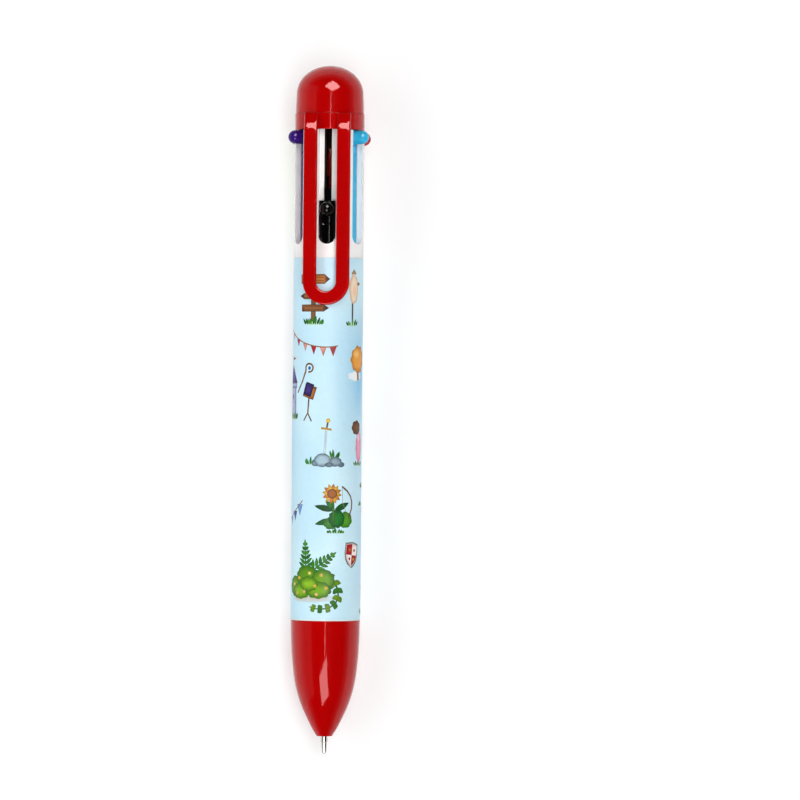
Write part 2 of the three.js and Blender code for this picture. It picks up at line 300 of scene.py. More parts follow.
class Surface:
    """A Principled material and short ways to add nodes to it."""

    def __init__(self, name, colour, roughness, **sockets):
        self.material = bpy.data.materials.new(name)
        self.material.use_nodes = True
        self.tree = self.material.node_tree
        self.shader = self.tree.nodes["Principled BSDF"]
        self.shader.inputs["Base Color"].default_value = (*colour, 1)
        self.shader.inputs["Roughness"].default_value = roughness
        for socket, value in sockets.items():
            label = "IOR" if socket == "ior" else socket.replace("_", " ").title()
            self.shader.inputs[label].default_value = value
        self.material.diffuse_color = (*colour, 1)

    def node(self, kind, **values):
        made = self.tree.nodes.new(kind)
        for key, value in values.items():
            if key in made.inputs:
                made.inputs[key].default_value = value
            else:
                setattr(made, key, value)
        return made

    def link(self, source, target):
        self.tree.links.new(source, target)

    def feed(self, label, source):
        """Drives one of the shader's sockets."""
        self.link(source, self.shader.inputs[label])

    def maths(self, kind, operation, *values):
        """The result of a Math or VectorMath node on sockets and constants."""
        made = self.node("ShaderNode" + kind, operation=operation)
        for socket, value in zip(made.inputs, values, strict=False):
            if isinstance(value, bpy.types.NodeSocket):
                self.link(value, socket)
            else:
                socket.default_value = value
        return next(output for output in made.outputs if output.enabled)

    def position(self):
        return self.node("ShaderNodeTexCoord").outputs["Object"]

    def noise(self, scale, detail=3.0, stretch=None, roughness=0.5):
        """Noise with its scale in cells per millimetre, stretched along an axis if asked."""
        made = self.node("ShaderNodeTexNoise", Scale=scale / MM, Detail=detail)
        made.inputs["Roughness"].default_value = roughness
        if stretch is None:
            self.link(self.position(), made.inputs["Vector"])
            return made.outputs["Fac"]
        mapping = self.node("ShaderNodeMapping")
        mapping.inputs["Scale"].default_value = stretch
        self.link(self.position(), mapping.inputs["Vector"])
        self.link(mapping.outputs["Vector"], made.inputs["Vector"])
        return made.outputs["Fac"]

    def remap(self, value, low, high, from_low=0.3, from_high=0.7):
        """A noise value spread between two limits."""
        made = self.node("ShaderNodeMapRange")
        limits = (from_low, from_high, low, high)
        for socket, limit in zip(("From Min", "From Max", "To Min", "To Max"), limits, strict=True):
            made.inputs[socket].default_value = limit
        self.link(value, made.inputs["Value"])
        return made.outputs["Result"]

    def blend_colours(self, share, first, second, mode="MIX"):
        """Two colours, or a colour socket and a colour, mixed by a share."""
        made = self.node("ShaderNodeMix", data_type="RGBA", blend_type=mode)
        for label, value in (("A", first), ("B", second)):
            socket = [s for s in made.inputs if s.name == label and s.type == "RGBA"][0]
            if isinstance(value, tuple):
                socket.default_value = (*value, 1)
            else:
                self.link(value, socket)
        if isinstance(share, float):
            made.inputs["Factor"].default_value = share
        else:
            self.link(share, made.inputs["Factor"])
        return [s for s in made.outputs if s.type == "RGBA"][0]

    def vary_colour(self, colour, depth):
        """A barely uneven colour, as moulded plastic has."""
        darker = tuple(c * (1 - depth) for c in colour)
        mixed = self.blend_colours(self.remap(self.noise(0.12), 0.0, 1.0), colour, darker)
        self.feed("Base Color", mixed)
        return mixed

    def paint_guide_shade(self, colour, outer):
        """Paints shade into a colour inside the guide, where light arrives only after many bounces: a
        deeper colour in the core, nearly black out to the guide's faces.
        """
        beyond = self.remap(self.radius(), 0.0, 1.0, GUIDE_CORE * MM, (GUIDE_CORE + 0.15) * MM)
        # painted shade colours: a deep one in the core, a nearly black one in the slits
        core_shade, slit_shade = tuple(0.45 * c * c for c in colour), tuple(0.04 * c for c in colour)
        inner_shade = self.blend_colours(beyond, core_shade, slit_shade)
        deep = self.remap(self.radius(), 1.0, 0.0, GUIDE_FACE * MM, (GUIDE_FACE + 0.5) * MM)
        self.feed("Base Color", self.blend_colours(deep, outer, inner_shade))

    def radius(self):
        """The distance from the pen's axis."""
        shifted = self.maths("VectorMath", "SUBTRACT", self.position(), (0, 0, AXIS_Z))
        flat = self.maths("VectorMath", "MULTIPLY", shifted, (1, 0, 1))
        return self.maths("VectorMath", "LENGTH", flat)

    def vary_roughness(self, low, high, scale=0.6):
        """Handling marks: roughness that changes in soft patches and fine rubbed streaks."""
        patches = self.maths("Math", "MULTIPLY", self.noise(scale, detail=4.0), 0.6)
        streaks = self.noise(1.2, detail=2.0, stretch=(6, 0.6, 6))
        mixed = self.maths("Math", "MULTIPLY_ADD", streaks, 0.4, patches)
        self.feed("Roughness", self.remap(mixed, low, high))

    def bump(self, height, strength, distance):
        """A bump with its height in millimetres."""
        made = self.node("ShaderNodeBump")
        made.inputs["Strength"].default_value = strength
        made.inputs["Distance"].default_value = distance * MM
        self.link(height, made.inputs["Height"])
        self.feed("Normal", made.outputs["Normal"])


def moulded_plastic(name, colour, roughness, inside=False, **sockets):
    """Glossy injection-moulded plastic: nearly even colour, faint flow waviness, light handling, and
    with inside set, shade painted into it inside the guide.
    """
    surface = Surface(name, colour, roughness[0], **sockets)
    mixed = surface.vary_colour(colour, 0.06)
    # painted shade inside the guide
    if inside:
        surface.paint_guide_shade(colour, mixed)
    surface.vary_roughness(*roughness)
    surface.bump(surface.noise(0.35, detail=2.0), 0.10, 0.02)
    return surface.material


def turned_metal(name, colour, roughness, groove):
    """Metal with the fine rings that turning leaves, a groove every so many millimetres."""
    surface = Surface(name, colour, roughness, metallic=1.0)
    surface.vary_roughness(roughness - 0.08, roughness + 0.1, scale=2.0)
    rings = surface.node("ShaderNodeTexWave", wave_type="BANDS", bands_direction="Y")
    rings.inputs["Scale"].default_value = 1 / (groove * MM) / (2 * math.pi)
    rings.inputs["Distortion"].default_value = 0.4
    surface.link(surface.position(), rings.inputs["Vector"])
    surface.bump(rings.outputs["Fac"], 0.06, 0.01)
    return surface.material


def ink_tube(name, ink):
    """A milky refill tube with its ink showing through, up to the ink's level."""
    milky = srgb("D9E2E6")
    scatter = (0.0006, 0.0006, 0.0006)
    surface = Surface(name, milky, 0.25, subsurface_weight=0.15, subsurface_radius=scatter)
    split = surface.node("ShaderNodeSeparateXYZ")
    surface.link(surface.position(), split.inputs[0])
    level = ZERO_Y + INK_LEVEL * MM
    filled = surface.remap(split.outputs["Y"], 0.0, 1.0, level, level + 0.6 * MM)
    shown = tuple(0.35 * m + 0.65 * i for m, i in zip(milky, ink, strict=True))
    surface.feed("Base Color", surface.blend_colours(filled, shown, milky))
    surface.bump(surface.noise(0.8), 0.08, 0.01)
    return surface.material


def printed_film():
    """The printed film: artwork in a colour attribute with a faint grain and a satin gloss."""
    surface = Surface("printed_film", (1, 1, 1), 0.4, ior=1.3)
    art = surface.node("ShaderNodeAttribute", attribute_name="artwork")
    wash = surface.remap(surface.noise(0.9, detail=5.0, roughness=0.65), 0.0, 1.0, 0.25, 0.75)
    washed = surface.blend_colours(wash, (0.95, 0.95, 0.95), (1.0, 1.0, 1.0))
    painted = surface.blend_colours(1.0, art.outputs["Color"], washed, "MULTIPLY")
    grain = surface.remap(surface.noise(7.0, detail=1.0), 0.0, 1.0, 0.2, 0.8)
    grained = surface.blend_colours(grain, (0.96, 0.96, 0.96), (1.0, 1.0, 1.0))
    surface.feed("Base Color", surface.blend_colours(1.0, painted, grained, "MULTIPLY"))
    surface.vary_roughness(0.36, 0.46)
    surface.bump(surface.noise(5.0, detail=2.0), 0.12, 0.01)
    return surface.material


PLASTIC_COLOURS = {
    "black": (0.0013, 0.0013, 0.0015),
    "light_blue": srgb("35BFEE"),
    "red": srgb("B20A1E"),
    "orange": srgb("E2561A"),
    "lime": srgb("B4E01E"),
    "purple": srgb("341272"),
}
INK_COLOURS = {
    "black": srgb("101014"),
    "light_blue": srgb("1C8FD0"),
    "red": srgb("A00C1C"),
    "orange": srgb("D8521A"),
    "lime": srgb("4FA52A"),
    "purple": srgb("3A1A80"),
}

RED = moulded_plastic(
    "red_plastic",
    (0.46, 0.0005, 0.0008),
    (0.04, 0.09),
    ior=1.42,
    specular_tint=(1, 0.55, 0.55, 1),
)
# also used for the guide and seat, where this colour has painted shade inside the guide
WHITE = moulded_plastic(
    "white_plastic",
    srgb("FAF8F6"),
    (0.18, 0.3),
    inside=True,
    ior=1.3,
    subsurface_weight=0.25,
    subsurface_radius=(0.0012, 0.0011, 0.0010),
)
FILM = printed_film()
NICKEL = turned_metal("nickel_point", srgb("C9C6BF"), 0.16, 0.05)
BALL = turned_metal("hard_metal_ball", srgb("A9A9AC"), 0.16, 0.2)
STEEL = turned_metal("spring_steel", srgb("A7A9AC"), 0.3, 0.03)


# ---- The body of the pen ----------------------------------------------------------------------


def make_nose():
    """The ogive nose with its hole, funnel and screwed spigot."""
    front = [(1.66, NOSE_FACE + 0.08), (2.97, 5.1), (4.87, 9.2), (6.08, 13.3)]
    ogive = spline([*front, (6.76, 18.4), (7.02, 23), (7.09, NOSE_SEAM - 0.12)], 8)
    rim = rounded([tuple(ogive[-1]), (7.09, NOSE_SEAM, 0.06), (5.75, NOSE_SEAM)])
    pitch, crest, foot = 1.0, 5.85, 5.72
    thread = []
    start = NOSE_SEAM + 1.6
    while start < NOSE_END - 1.4:
        thread += [(foot, start), (crest, start + 0.25), (crest, start + 0.4), (foot, start + 0.65)]
        start += pitch
    spigot = [(5.72, NOSE_END, 0.2), (5.15, NOSE_END, 0.15), (5.15, 13.5, 1.5)]
    hole = [(1.0, 5.0, 0.6), (1.0, NOSE_FACE, 0.08), (1.6, NOSE_FACE)]
    profile = [*ogive, *rim[1:], *thread, *rounded(spigot + hole)]
    obj = shade(lathe("nose", profile, closed=True), 32)
    return place(obj, "root", ["nose_cone"], "red_plastic", RED)


def slot_cutter(angle):
    half = SLOT_WIDTH / 2
    centre = SLOT_BOTTOM + half
    angles = [math.pi + math.pi * k / 24 for k in range(25)]
    arc = [(half * math.cos(a), centre + half * math.sin(a)) for a in angles]
    outline = [*arc, (half, TOP), (-half, TOP)]
    return prism("slot", outline, 4.6, BUTTON_REACH, pen_matrix(angle))


def make_barrel():
    """The white tube: printed below, six slots above, a shoulder and neck for the collar."""
    shoulder = COLLAR_START - 0.1
    under_print = 6.96
    profile = rounded(
        [
            (BARREL_BORE, BARREL_START, 0.1),
            (BARREL_RADIUS, BARREL_START, 0.08),
            (BARREL_RADIUS, PRINT_START - 0.05),
            (under_print, PRINT_START - 0.05),
            (under_print, PRINT_END + 0.1),
            (BARREL_RADIUS, PRINT_END + 0.1, 0.05),
            (BARREL_RADIUS, shoulder, 0.06),
            (6.35, shoulder),
            (6.35, BARREL_END, 0.1),
            (BARREL_BORE, BARREL_END, 0.1),
            (BARREL_BORE, 66.4),
            (5.3, 66.4, 0.1),
            (5.3, 36.0, 0.1),
            (BARREL_BORE, 36.0),
        ],
        closed=True,
        steps=3,
    )
    obj = lathe("barrel", profile, closed=True)
    for k in range(len(COLOURS)):
        combine(obj, slot_cutter(k * SLOT_STEP), "DIFFERENCE")
    soften(obj, 0.09, 3)
    return place(shade(obj, 38), "root", ["barrel_tube"], "white_plastic", WHITE)


def make_collar():
    """The band that closes the slots, with a bead along its lower edge."""
    low = [(6.5, COLLAR_START, 0.1), (COLLAR_RADIUS, COLLAR_START, 0.16)]
    high = [(COLLAR_RADIUS, COLLAR_END, 0.1), (6.5, COLLAR_END, 0.1)]
    obj = shade(lathe("collar", rounded(low + high, closed=True), closed=True))
    return place(obj, "root", ["clip_collar"], "red_plastic", RED)


def make_dome():
    """The domed cap, hollow, with its stem."""
    rim, waist, waist_radius = COLLAR_END + 0.03, 134.2, 6.84
    outside = quarter_arc(waist_radius, TOP - waist, waist, 40)
    inside = [p for p in quarter_arc(5.95, 4.2, waist, 16) if p.x > 2.4]
    skirt = rounded([(6.45, 131.1), (6.45, rim, 0.08), (7.0, rim, 0.1), (6.93, 132.2)])
    start = [(0, 130.1), *rounded([(2.0, 130.1), (2.4, 130.1, 0.2), (2.4, 138.0)])[1:]]
    profile = [*start, *reversed(inside), (5.95, 131.1), *skirt, *outside]
    obj = shade(lathe("dome", profile), 45)
    return place(obj, "root", ["dome_cap"], "red_plastic", RED)


# ---- The clip ---------------------------------------------------------------------------------

CLIP_OUTER = 4.75
CLIP_INNER = 2.0
CLIP_CENTRE = CLIP_END + CLIP_OUTER
CLIP_FACE = 8.9
CLIP_UNDER = 7.56
CLIP_BEND_START = 125.85
CLIP_BEND_RADIUS = 5.4
CLIP_SLOPE = math.radians(30)


def smoothstep(value, low, high):
    t = min(1.0, max(0.0, (value - low) / (high - low)))
    return t * t * (3 - 2 * t)


def clip_face(station):
    """Height of the clip's outside above the axis: flat, a wide bend, then straight down."""
    past = max(0.0, station - CLIP_BEND_START)
    bent = min(past, CLIP_BEND_RADIUS * math.sin(CLIP_SLOPE))
    drop = CLIP_BEND_RADIUS - math.sqrt(CLIP_BEND_RADIUS**2 - bent**2)
    return CLIP_FACE - drop - (past - bent) * math.tan(CLIP_SLOPE)


def clip_under(across, station):
    """Height of the clip's underside: a nub at its end, flat, then down onto the collar."""
    nub = 0.34 * (1 - smoothstep(station, CLIP_END + 1.6, CLIP_END + 5))
    flat = CLIP_UNDER - nub
    onto_collar = math.sqrt((COLLAR_RADIUS - 0.03) ** 2 - across**2)
    share = smoothstep(station, COLLAR_START - 0.5, COLLAR_START + 0.15)
    return flat + (onto_collar - flat) * share


def clip_path():
    """(across, station, outward direction) along the loop, leg, round end, leg."""
    middle = (CLIP_OUTER + CLIP_INNER) / 2
    coarse = list(np.linspace(CLIP_CENTRE, COLLAR_START - 1.0, 30))[1:]
    fine = list(np.linspace(COLLAR_START - 1.0, CLIP_TOP - 0.12, 44))[1:]
    leg = coarse + fine
    path = [(middle, s, (1, 0)) for s in reversed(leg)]
    for k in range(49):
        angle = -math.pi * k / 48
        out = (math.cos(angle), math.sin(angle))
        path.append((middle * out[0], CLIP_CENTRE + middle * out[1], out))
    return path + [(-middle, s, (-1, 0)) for s in leg]


def clip_section(across, station, out, shrink=0.0):
    """The round-cornered cross section of the clip at one place on its path."""
    half = (CLIP_OUTER - CLIP_INNER) / 2 - shrink
    outline = rounded(
        [(-half, -1, 0.3), (half, -1, 0.3), (half, 1, 0.36), (0.6, 1), (-0.6, 1), (-half, 1, 0.36)],
        closed=True,
        steps=5,
    )
    ring = []
    face = clip_face(station) - shrink
    for p in outline:
        x = across + out[0] * p.x
        y = station + out[1] * p.x
        under = clip_under(max(-6.9, min(6.9, x)), y)
        share = (p.y + 1) / 2
        ring.append((x, y, under + (face - under) * share))
    return ring


def clip_rings():
    path = clip_path()
    first, last = path[0], path[-1]
    rings = [clip_section(first[0], CLIP_TOP, first[2], 0.12)]
    rings += [clip_section(*step) for step in path]
    rings.append(clip_section(last[0], CLIP_TOP, last[2], 0.12))
    return rings


def make_clip():
    """The looped clip, swept round its path; its root stays on the collar, its legs flex."""
    rings = clip_rings()
    count = len(rings[0])
    verts = [v for ring in rings for v in ring]
    faces = [list(range(count)), list(range(len(verts) - count, len(verts)))]
    for r in range(len(rings) - 1):
        for k in range(count):
            a, b = r * count + k, r * count + (k + 1) % count
            faces.append([a, b, b + count, a + count])
    obj = shade(new_object("clip", verts, faces), 40)
    place(obj, None, ["pocket_clip"], "red_plastic", RED)
    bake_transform(obj)
    return obj


# ---- Sliders, refills and springs -------------------------------------------------------------

PLATE_WIDTH = 3.36
PLATE_INNER = 4.85
PLATE_OUTER = 5.8
MM_ONLY = Matrix.Scale(MM, 4)


def box(name, width, start, end, low, high):
    half = width / 2
    outline = [(-half, start), (half, start), (half, end), (-half, end)]
    return prism(name, outline, low, high, MM_ONLY)


def radial_lathe(name, profile, segments):
    """A turned piece whose axis points out of the slot instead of along the pen."""
    turn = Matrix.Scale(MM, 4) @ Matrix.Rotation(math.pi / 2, 4, "X")
    return lathe(name, profile, segments=segments, matrix=turn)


def ridge_mesh():
    """The small raised bar on a slider's plate, its top sloping up away from the peg."""
    low, high = -3.24, -2.88
    sides = [(low, -0.4), (high, -0.4), (high, 0.02), (low, 0.15)]
    verts = [(x, y, PLATE_OUTER + z) for x in (-0.95, 0.95) for y, z in sides]
    faces = [[0, 1, 2, 3], [4, 5, 6, 7]]
    faces += [[k, (k + 1) % 4, 4 + (k + 1) % 4, 4 + k] for k in range(4)]
    return new_object("ridge", verts, faces, MM_ONLY)


def slider_mesh():
    """One slider in its own slot's frame, its button's centre at station zero."""
    foot, foot_top = -BUTTON_ABOVE_FOOT, -BUTTON_ABOVE_FOOT + 2.2
    body = box("slider", PLATE_WIDTH, foot, 1.7, PLATE_INNER, BUTTON_REACH)
    limit = [(0, foot - 1), (PLATE_OUTER, foot - 1), (PLATE_OUTER, 3), (0, 3)]
    combine(body, lathe("limit", limit, matrix=MM_ONLY), "INTERSECT")
    combine(body, box("rib", 1.36, -10.6, 4.2, 2.9, PLATE_OUTER - 0.15), "UNION")
    combine(body, box("blade", 0.44, -10.6, -2.0, 1.5, 3.1), "UNION")
    combine(body, box("foot", 2.7, foot, foot_top, REFILL_OFFSET, PLATE_INNER + 0.2), "UNION")
    offset = MM_ONLY @ Matrix.Translation((0, 0, REFILL_OFFSET))
    stub = [(0, foot), (1.35, foot), (1.35, foot_top), (0, foot_top)]
    combine(body, lathe("stub", stub, segments=48, matrix=offset), "UNION")
    pin = rounded([(0, foot - 2.6), (0.55, foot - 2.6, 0.2), (0.55, foot_top - 1), (0, foot_top - 1)])
    combine(body, lathe("pin", pin, segments=32, matrix=offset), "UNION")
    cam = [(0, -7.9), (0.5, -7.75), (0.62, -7.3), (0.62, -4.0), (0.52, -3.2), (0.3, -2.5), (0, -2.0)]
    cam_place = MM_ONLY @ Matrix.Translation((0, 0, 1.9))
    combine(body, lathe("cam", cam, segments=32, matrix=cam_place), "UNION")
    soften(body, 0.07, 2)
    shoulder = BUTTON_REACH - BUTTON_RADIUS
    base = rounded([(1.62, 5.7), (BUTTON_RADIUS, 6.05, 0.2), (BUTTON_RADIUS, shoulder)])
    peg = [(0, 5.3), (1.62, 5.3), *base, *quarter_arc(BUTTON_RADIUS, BUTTON_RADIUS, shoulder, 20)[1:]]
    combine(body, radial_lathe("peg", peg, 64), "UNION")
    combine(body, ridge_mesh(), "UNION")
    shade(body, 42)
    mesh = body.data
    bpy.data.objects.remove(body)
    return mesh


def copy_of(name, mesh, matrix):
    obj = linked(name, mesh.copy())
    obj.data.transform(matrix)
    return obj


def template(obj):
    """Takes a finished object's mesh to copy, and removes the object."""
    mesh = obj.data
    bpy.data.objects.remove(obj)
    return mesh


def refill_meshes(length):
    """The tube, the metal point and the ball of a refill, its ball's tip at station zero."""
    bore, ball_radius = 0.72, 0.38
    tube = [(bore, 8.9, 0.06), (REFILL_RADIUS, 8.9, 0.08)]
    tube += [(REFILL_RADIUS, length - 0.1, 0.12), (bore, length - 0.1, 0.08)]
    point = [(0, 0.79), (0.41, 0.79), (0.41, 0.24, 0.03), (0.46, 0.24, 0.03), (0.6, 2.3, 0.03)]
    point += [(0.69, 2.42, 0.04), (0.69, 5.9, 0.4), (1.12, 7.2, 0.15), (1.12, 7.9, 0.05)]
    point += [(1.02, 8.0, 0.05), (1.02, 8.15, 0.05), (1.12, 8.25, 0.05), (1.12, 8.8, 0.08)]
    point += [(0.62, 8.8, 0.05), (0.62, 12, 0.15), (0, 12)]
    angles = [math.pi * k / 24 for k in range(1, 24)]
    ball = [(ball_radius * math.sin(a), ball_radius * (1 - math.cos(a))) for a in angles]
    ball = [(0, 0), *ball, (0, 2 * ball_radius)]
    return (
        template(shade(lathe("tube", rounded(tube, True), True, 48, MM_ONLY))),
        template(shade(lathe("point", rounded(point), False, 64, MM_ONLY))),
        template(shade(lathe("ball", ball, False, 40, MM_ONLY))),
    )


def spring_mesh(length):
    """A coil spring with closed, flattened end turns, standing on station zero."""
    end_turns, sides, per_turn = 1.2, 10, 28
    steps = int(SPRING_TURNS * per_turn)
    pitch_end = 2.1 * SPRING_WIRE
    free = length - 2 * SPRING_WIRE - 2 * end_turns * pitch_end
    turns_free = SPRING_TURNS - 2 * end_turns

    def height(turn):
        if turn < end_turns:
            return turn * pitch_end
        if turn > SPRING_TURNS - end_turns:
            return end_turns * pitch_end + free + (turn - SPRING_TURNS + end_turns) * pitch_end
        return end_turns * pitch_end + free * (turn - end_turns) / turns_free

    verts, faces = [], []
    for i in range(steps + 1):
        turn = SPRING_TURNS * i / steps
        angle = 2 * math.pi * turn
        out = Vector((math.cos(angle), 0, math.sin(angle)))
        for k in range(sides):
            a = 2 * math.pi * k / sides
            up = SPRING_WIRE + height(turn) + SPRING_WIRE * math.sin(a)
            verts.append(out * (SPRING_RADIUS + SPRING_WIRE * math.cos(a)) + Vector((0, up, 0)))
    for i in range(steps):
        for k in range(sides):
            a, b = i * sides + k, i * sides + (k + 1) % sides
            faces.append([a, b, b + sides, a + sides])
    faces += [list(range(sides)), list(range(steps * sides, (steps + 1) * sides))]
    obj = new_object("coil", verts, faces, MM_ONLY)
    obj.data.shade_smooth()
    return template(obj)


def make_colours():
    """Every colour's slider, refill and spring, in place."""
    mould = slider_mesh()
    foot_out = station_of(JOINTS["black_refill_lean"]["pos_m"][1])
    length = math.hypot(foot_out - TIP, REFILL_OFFSET)
    lean = math.asin(REFILL_OFFSET / length)
    tube, point, ball = refill_meshes(length)
    for k, colour in enumerate(COLOURS):
        foot = station_of(JOINTS[f"{colour}_refill_lean"]["pos_m"][1])
        angle = math.radians(k * SLOT_STEP)
        turn = Matrix.Translation((0, ZERO_Y, AXIS_Z)) @ Matrix.Rotation(angle, 4, "Y")
        along = Matrix.Translation((0, (foot + BUTTON_ABOVE_FOOT) * MM, 0))
        shade_of = PLASTIC_COLOURS[colour]
        # each slider's plastic has painted shade inside the guide
        plastic = moulded_plastic(f"{colour}_plastic", shade_of, (0.05, 0.1), inside=True, ior=1.3)
        slider = copy_of(f"{colour}_slider", mould, turn @ along)
        place(slider, f"{colour}_slider", [f"slider_{colour}"], f"{colour}_slider_plastic", plastic)

        leaning = lean if colour == "black" else 0.0
        hung = Matrix.Translation((0, foot * MM, REFILL_OFFSET * MM))
        hung = hung @ Matrix.Rotation(leaning, 4, "X")
        down = Matrix.Translation((0, -length * MM, 0))
        ink = ink_tube(f"{colour}_ink", INK_COLOURS[colour])
        parts = (
            ("refill_tube", tube, "refill_tube_plastic", ink),
            ("refill_point", point, "nickel_point", NICKEL),
            ("writing_ball", ball, "hard_metal_ball", BALL),
        )
        for part, mesh, slot, material in parts:
            piece = copy_of(f"{colour}_{part}", mesh, turn @ hung @ down)
            place(piece, f"{colour}_refill", [f"{part}_{colour}"], slot, material)

        reach = (foot - SEAT_TOP) / math.cos(leaning) - 0.1
        below = Matrix.Translation((0, -(reach + 0.05) * MM, 0))
        spring = copy_of(f"{colour}_spring", spring_mesh(reach), turn @ hung @ below)
        place(spring, None, [f"return_spring_{colour}"], "spring_steel", STEEL)
        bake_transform(spring)


def finish_cad_nodes():
    """Better materials for the CAD pieces that stay as they are."""
    for node in ("slider_guide", "spring_seat"):
        materials = frame["nodes"][node].data.materials
        materials.clear()
        materials.append(WHITE)


# ---- The print --------------------------------------------------------------------------------
# The film is drawn flat, u millimetres round the pen from the clip's centre line and v as the
# station, and is then rolled up. A picture is a list of shapes, each an outline with a fill, a
# darker edge and how far the edge fades in. A later shape covers an earlier one. Most pictures are
# drawn standing on the origin, and at() moves them to their places.


def at(u, v, *parts):
    """Pictures drawn at the origin, moved to a place."""
    shapes = [item for part in parts for item in part]
    for item in shapes:
        item["outline"] = [(u + x, v + y) for x, y in item["outline"]]
    return shapes


def scaled(shapes, u, v, factor, turn=0.0):
    """A picture made larger or smaller and turned in degrees about a place."""
    c, s = math.cos(math.radians(turn)) * factor, math.sin(math.radians(turn)) * factor
    for item in shapes:
        item["outline"] = [
            (u + (x - u) * c - (y - v) * s, v + (x - u) * s + (y - v) * c)
            for x, y in item["outline"]
        ]
    return shapes


def shape(outline, fill, edge, fade):
    """One shape, its colours as hex codes; without an edge colour the edge is a darker fill."""
    fill = srgb(fill)
    edge = srgb(edge) if edge else tuple(c * 0.45 for c in fill)
    return {"outline": outline, "fill": fill, "edge": edge, "fade": fade}


def oval(u, v, ru, rv, count=20):
    angles = [2 * math.pi * k / count for k in range(count)]
    return [(u + ru * math.cos(a), v + rv * math.sin(a)) for a in angles]


def half_round(ru, v, rv, count):
    """The top half of an oval on the picture's centre line."""
    return [(ru * math.cos(a), v + rv * math.sin(a)) for a in np.linspace(0, math.pi, count)]


def leafy(u, v, ru, rv, lobes, depth, seed):
    """A round outline with lobes, for bushes, tree crowns and clouds."""
    rng = random.Random(seed)
    shift = rng.random() * 6
    count = lobes * 6
    points = []
    for k in range(count):
        a = 2 * math.pi * k / count
        bulge = 1 - depth + depth * abs(math.sin(lobes * a / 2 + shift)) + rng.uniform(-0.02, 0.02)
        points.append((u + ru * bulge * math.cos(a), v + rv * bulge * math.sin(a)))
    return points


def rect(u0, v0, u1, v1):
    return [(u0, v0), (u1, v0), (u1, v1), (u0, v1)]


def stroke(points, width, colour, edge, taper=1.0):
    """A line along some points that narrows to a share of its width at the far end."""
    path = [Vector(p) for p in points]
    left, right = [], []
    for k, here in enumerate(path):
        along = (path[min(k + 1, len(path) - 1)] - path[max(k - 1, 0)]).normalized()
        share = 1 - (1 - taper) * k / (len(path) - 1)
        side = Vector((-along.y, along.x)) * width / 2 * share
        left.append(tuple(here + side))
        right.append(tuple(here - side))
    return shape(left + right[::-1], colour, edge, width / 2)


# A leaf's outline: how far along it each point lies, and how far to the side.
LEAF = ((0, 0.2), (0.25, 0.46), (0.5, 0.5), (0.8, 0.28), (1, 0))
LEAF += tuple((reach, -half) for reach, half in LEAF[-2::-1])


def blade(u, v, length, lean, width, colour):
    """A leaf that tapers from its foot, leaning over by some degrees from upright."""
    along_u, along_v = math.sin(math.radians(lean)), math.cos(math.radians(lean))
    outline = [
        (
            u + along_u * reach * length + along_v * half * width,
            v + along_v * reach * length - along_u * half * width,
        )
        for reach, half in LEAF
    ]
    return shape(outline, colour, None, width * 0.45)


def grass(u, v, width, seed, height=1.9):
    """A fan of broad grass blades on a soft pale mound."""
    rng = random.Random(seed)
    shapes = [shape(oval(u, v, width * 0.55, height * 0.2), "B4DFB4", "C4E8EA", 0.35)]
    count = max(5, int(width * 2.1))
    for k in range(count):
        share = k / (count - 1) - 0.5
        colour = rng.choice(("2A8A22", "3FA01E", "6CBC2A", "1A661E"))
        length = height * rng.uniform(0.65, 1.0) * (1.1 - 0.8 * abs(share))
        lean = share * 80 + rng.uniform(-14, 14)
        shapes.append(blade(u + share * width * 0.8, v - 0.1, length, lean, 0.5, colour))
    return shapes


def cloud(u, v, size, seed):
    shade_of = leafy(u + size * 0.1, v - size * 0.06, size, size * 0.42, 7, 0.22, seed)
    lit = leafy(u, v, size * 0.9, size * 0.4, 6, 0.2, seed + 1)
    return [shape(shade_of, "DCEFF8", "C8E4F3", 0.4), shape(lit, "FFFFFF", "EAF6FB", 0.35)]


def bunting(start, end, sag, colours, count, size=1.5):
    """A string of little flags that hangs between two places, its flags growing along it."""
    (u0, v0), (u1, v1) = start, end

    def place_at(t):
        return (u0 + (u1 - u0) * t, v0 + (v1 - v0) * t - sag * 4 * t * (1 - t))

    shapes = []
    for k in range(count):
        t = (k + 0.5) / count
        grown = size * (0.65 + 0.35 * t)
        (x, y), half = place_at(t), grown * 0.36
        flag = [(x - half, y), (x + half, y), (x + 0.05, y - grown)]
        shapes.append(shape(flag, colours[k % len(colours)], None, 0.14))
    return [*shapes, stroke([place_at(k / 16) for k in range(17)], 0.22, "A8692E", "8A4A1E")]


def signpost():
    """A thick post with blank arrow boards in a tuft of grass."""
    wood, dark = "8A5A34", "4A2814"
    boards = (
        (9.1, 1, 3.1, 1.0, "C87A34"),
        (5.6, -1, 3.0, 0.62, "B07844"),
        (3.2, 1, 2.9, 0.75, "9A6236"),
    )
    shapes = [shape(rect(-0.53, 0, 0.53, 9.6), wood, dark, 0.4)]
    for y, side, reach, half, colour in boards:
        outline = [
            (-side * reach, y - half),
            (side * reach * 0.75, y - half),
            (side * (reach + 0.4), y),
            (side * reach * 0.75, y + half),
            (-side * reach, y + half * 0.9),
        ]
        shapes.append(shape(outline, colour, dark, 0.45))
        for grain in (-0.35, 0.3):
            middle = y + grain * half
            streak = rect(-reach * 0.7, middle - 0.05, reach * 0.7, middle + 0.05)
            shapes.append(shape(streak, dark, dark, 0.05))
    return shapes + grass(0, 0, 4.4, 11, 2.0)


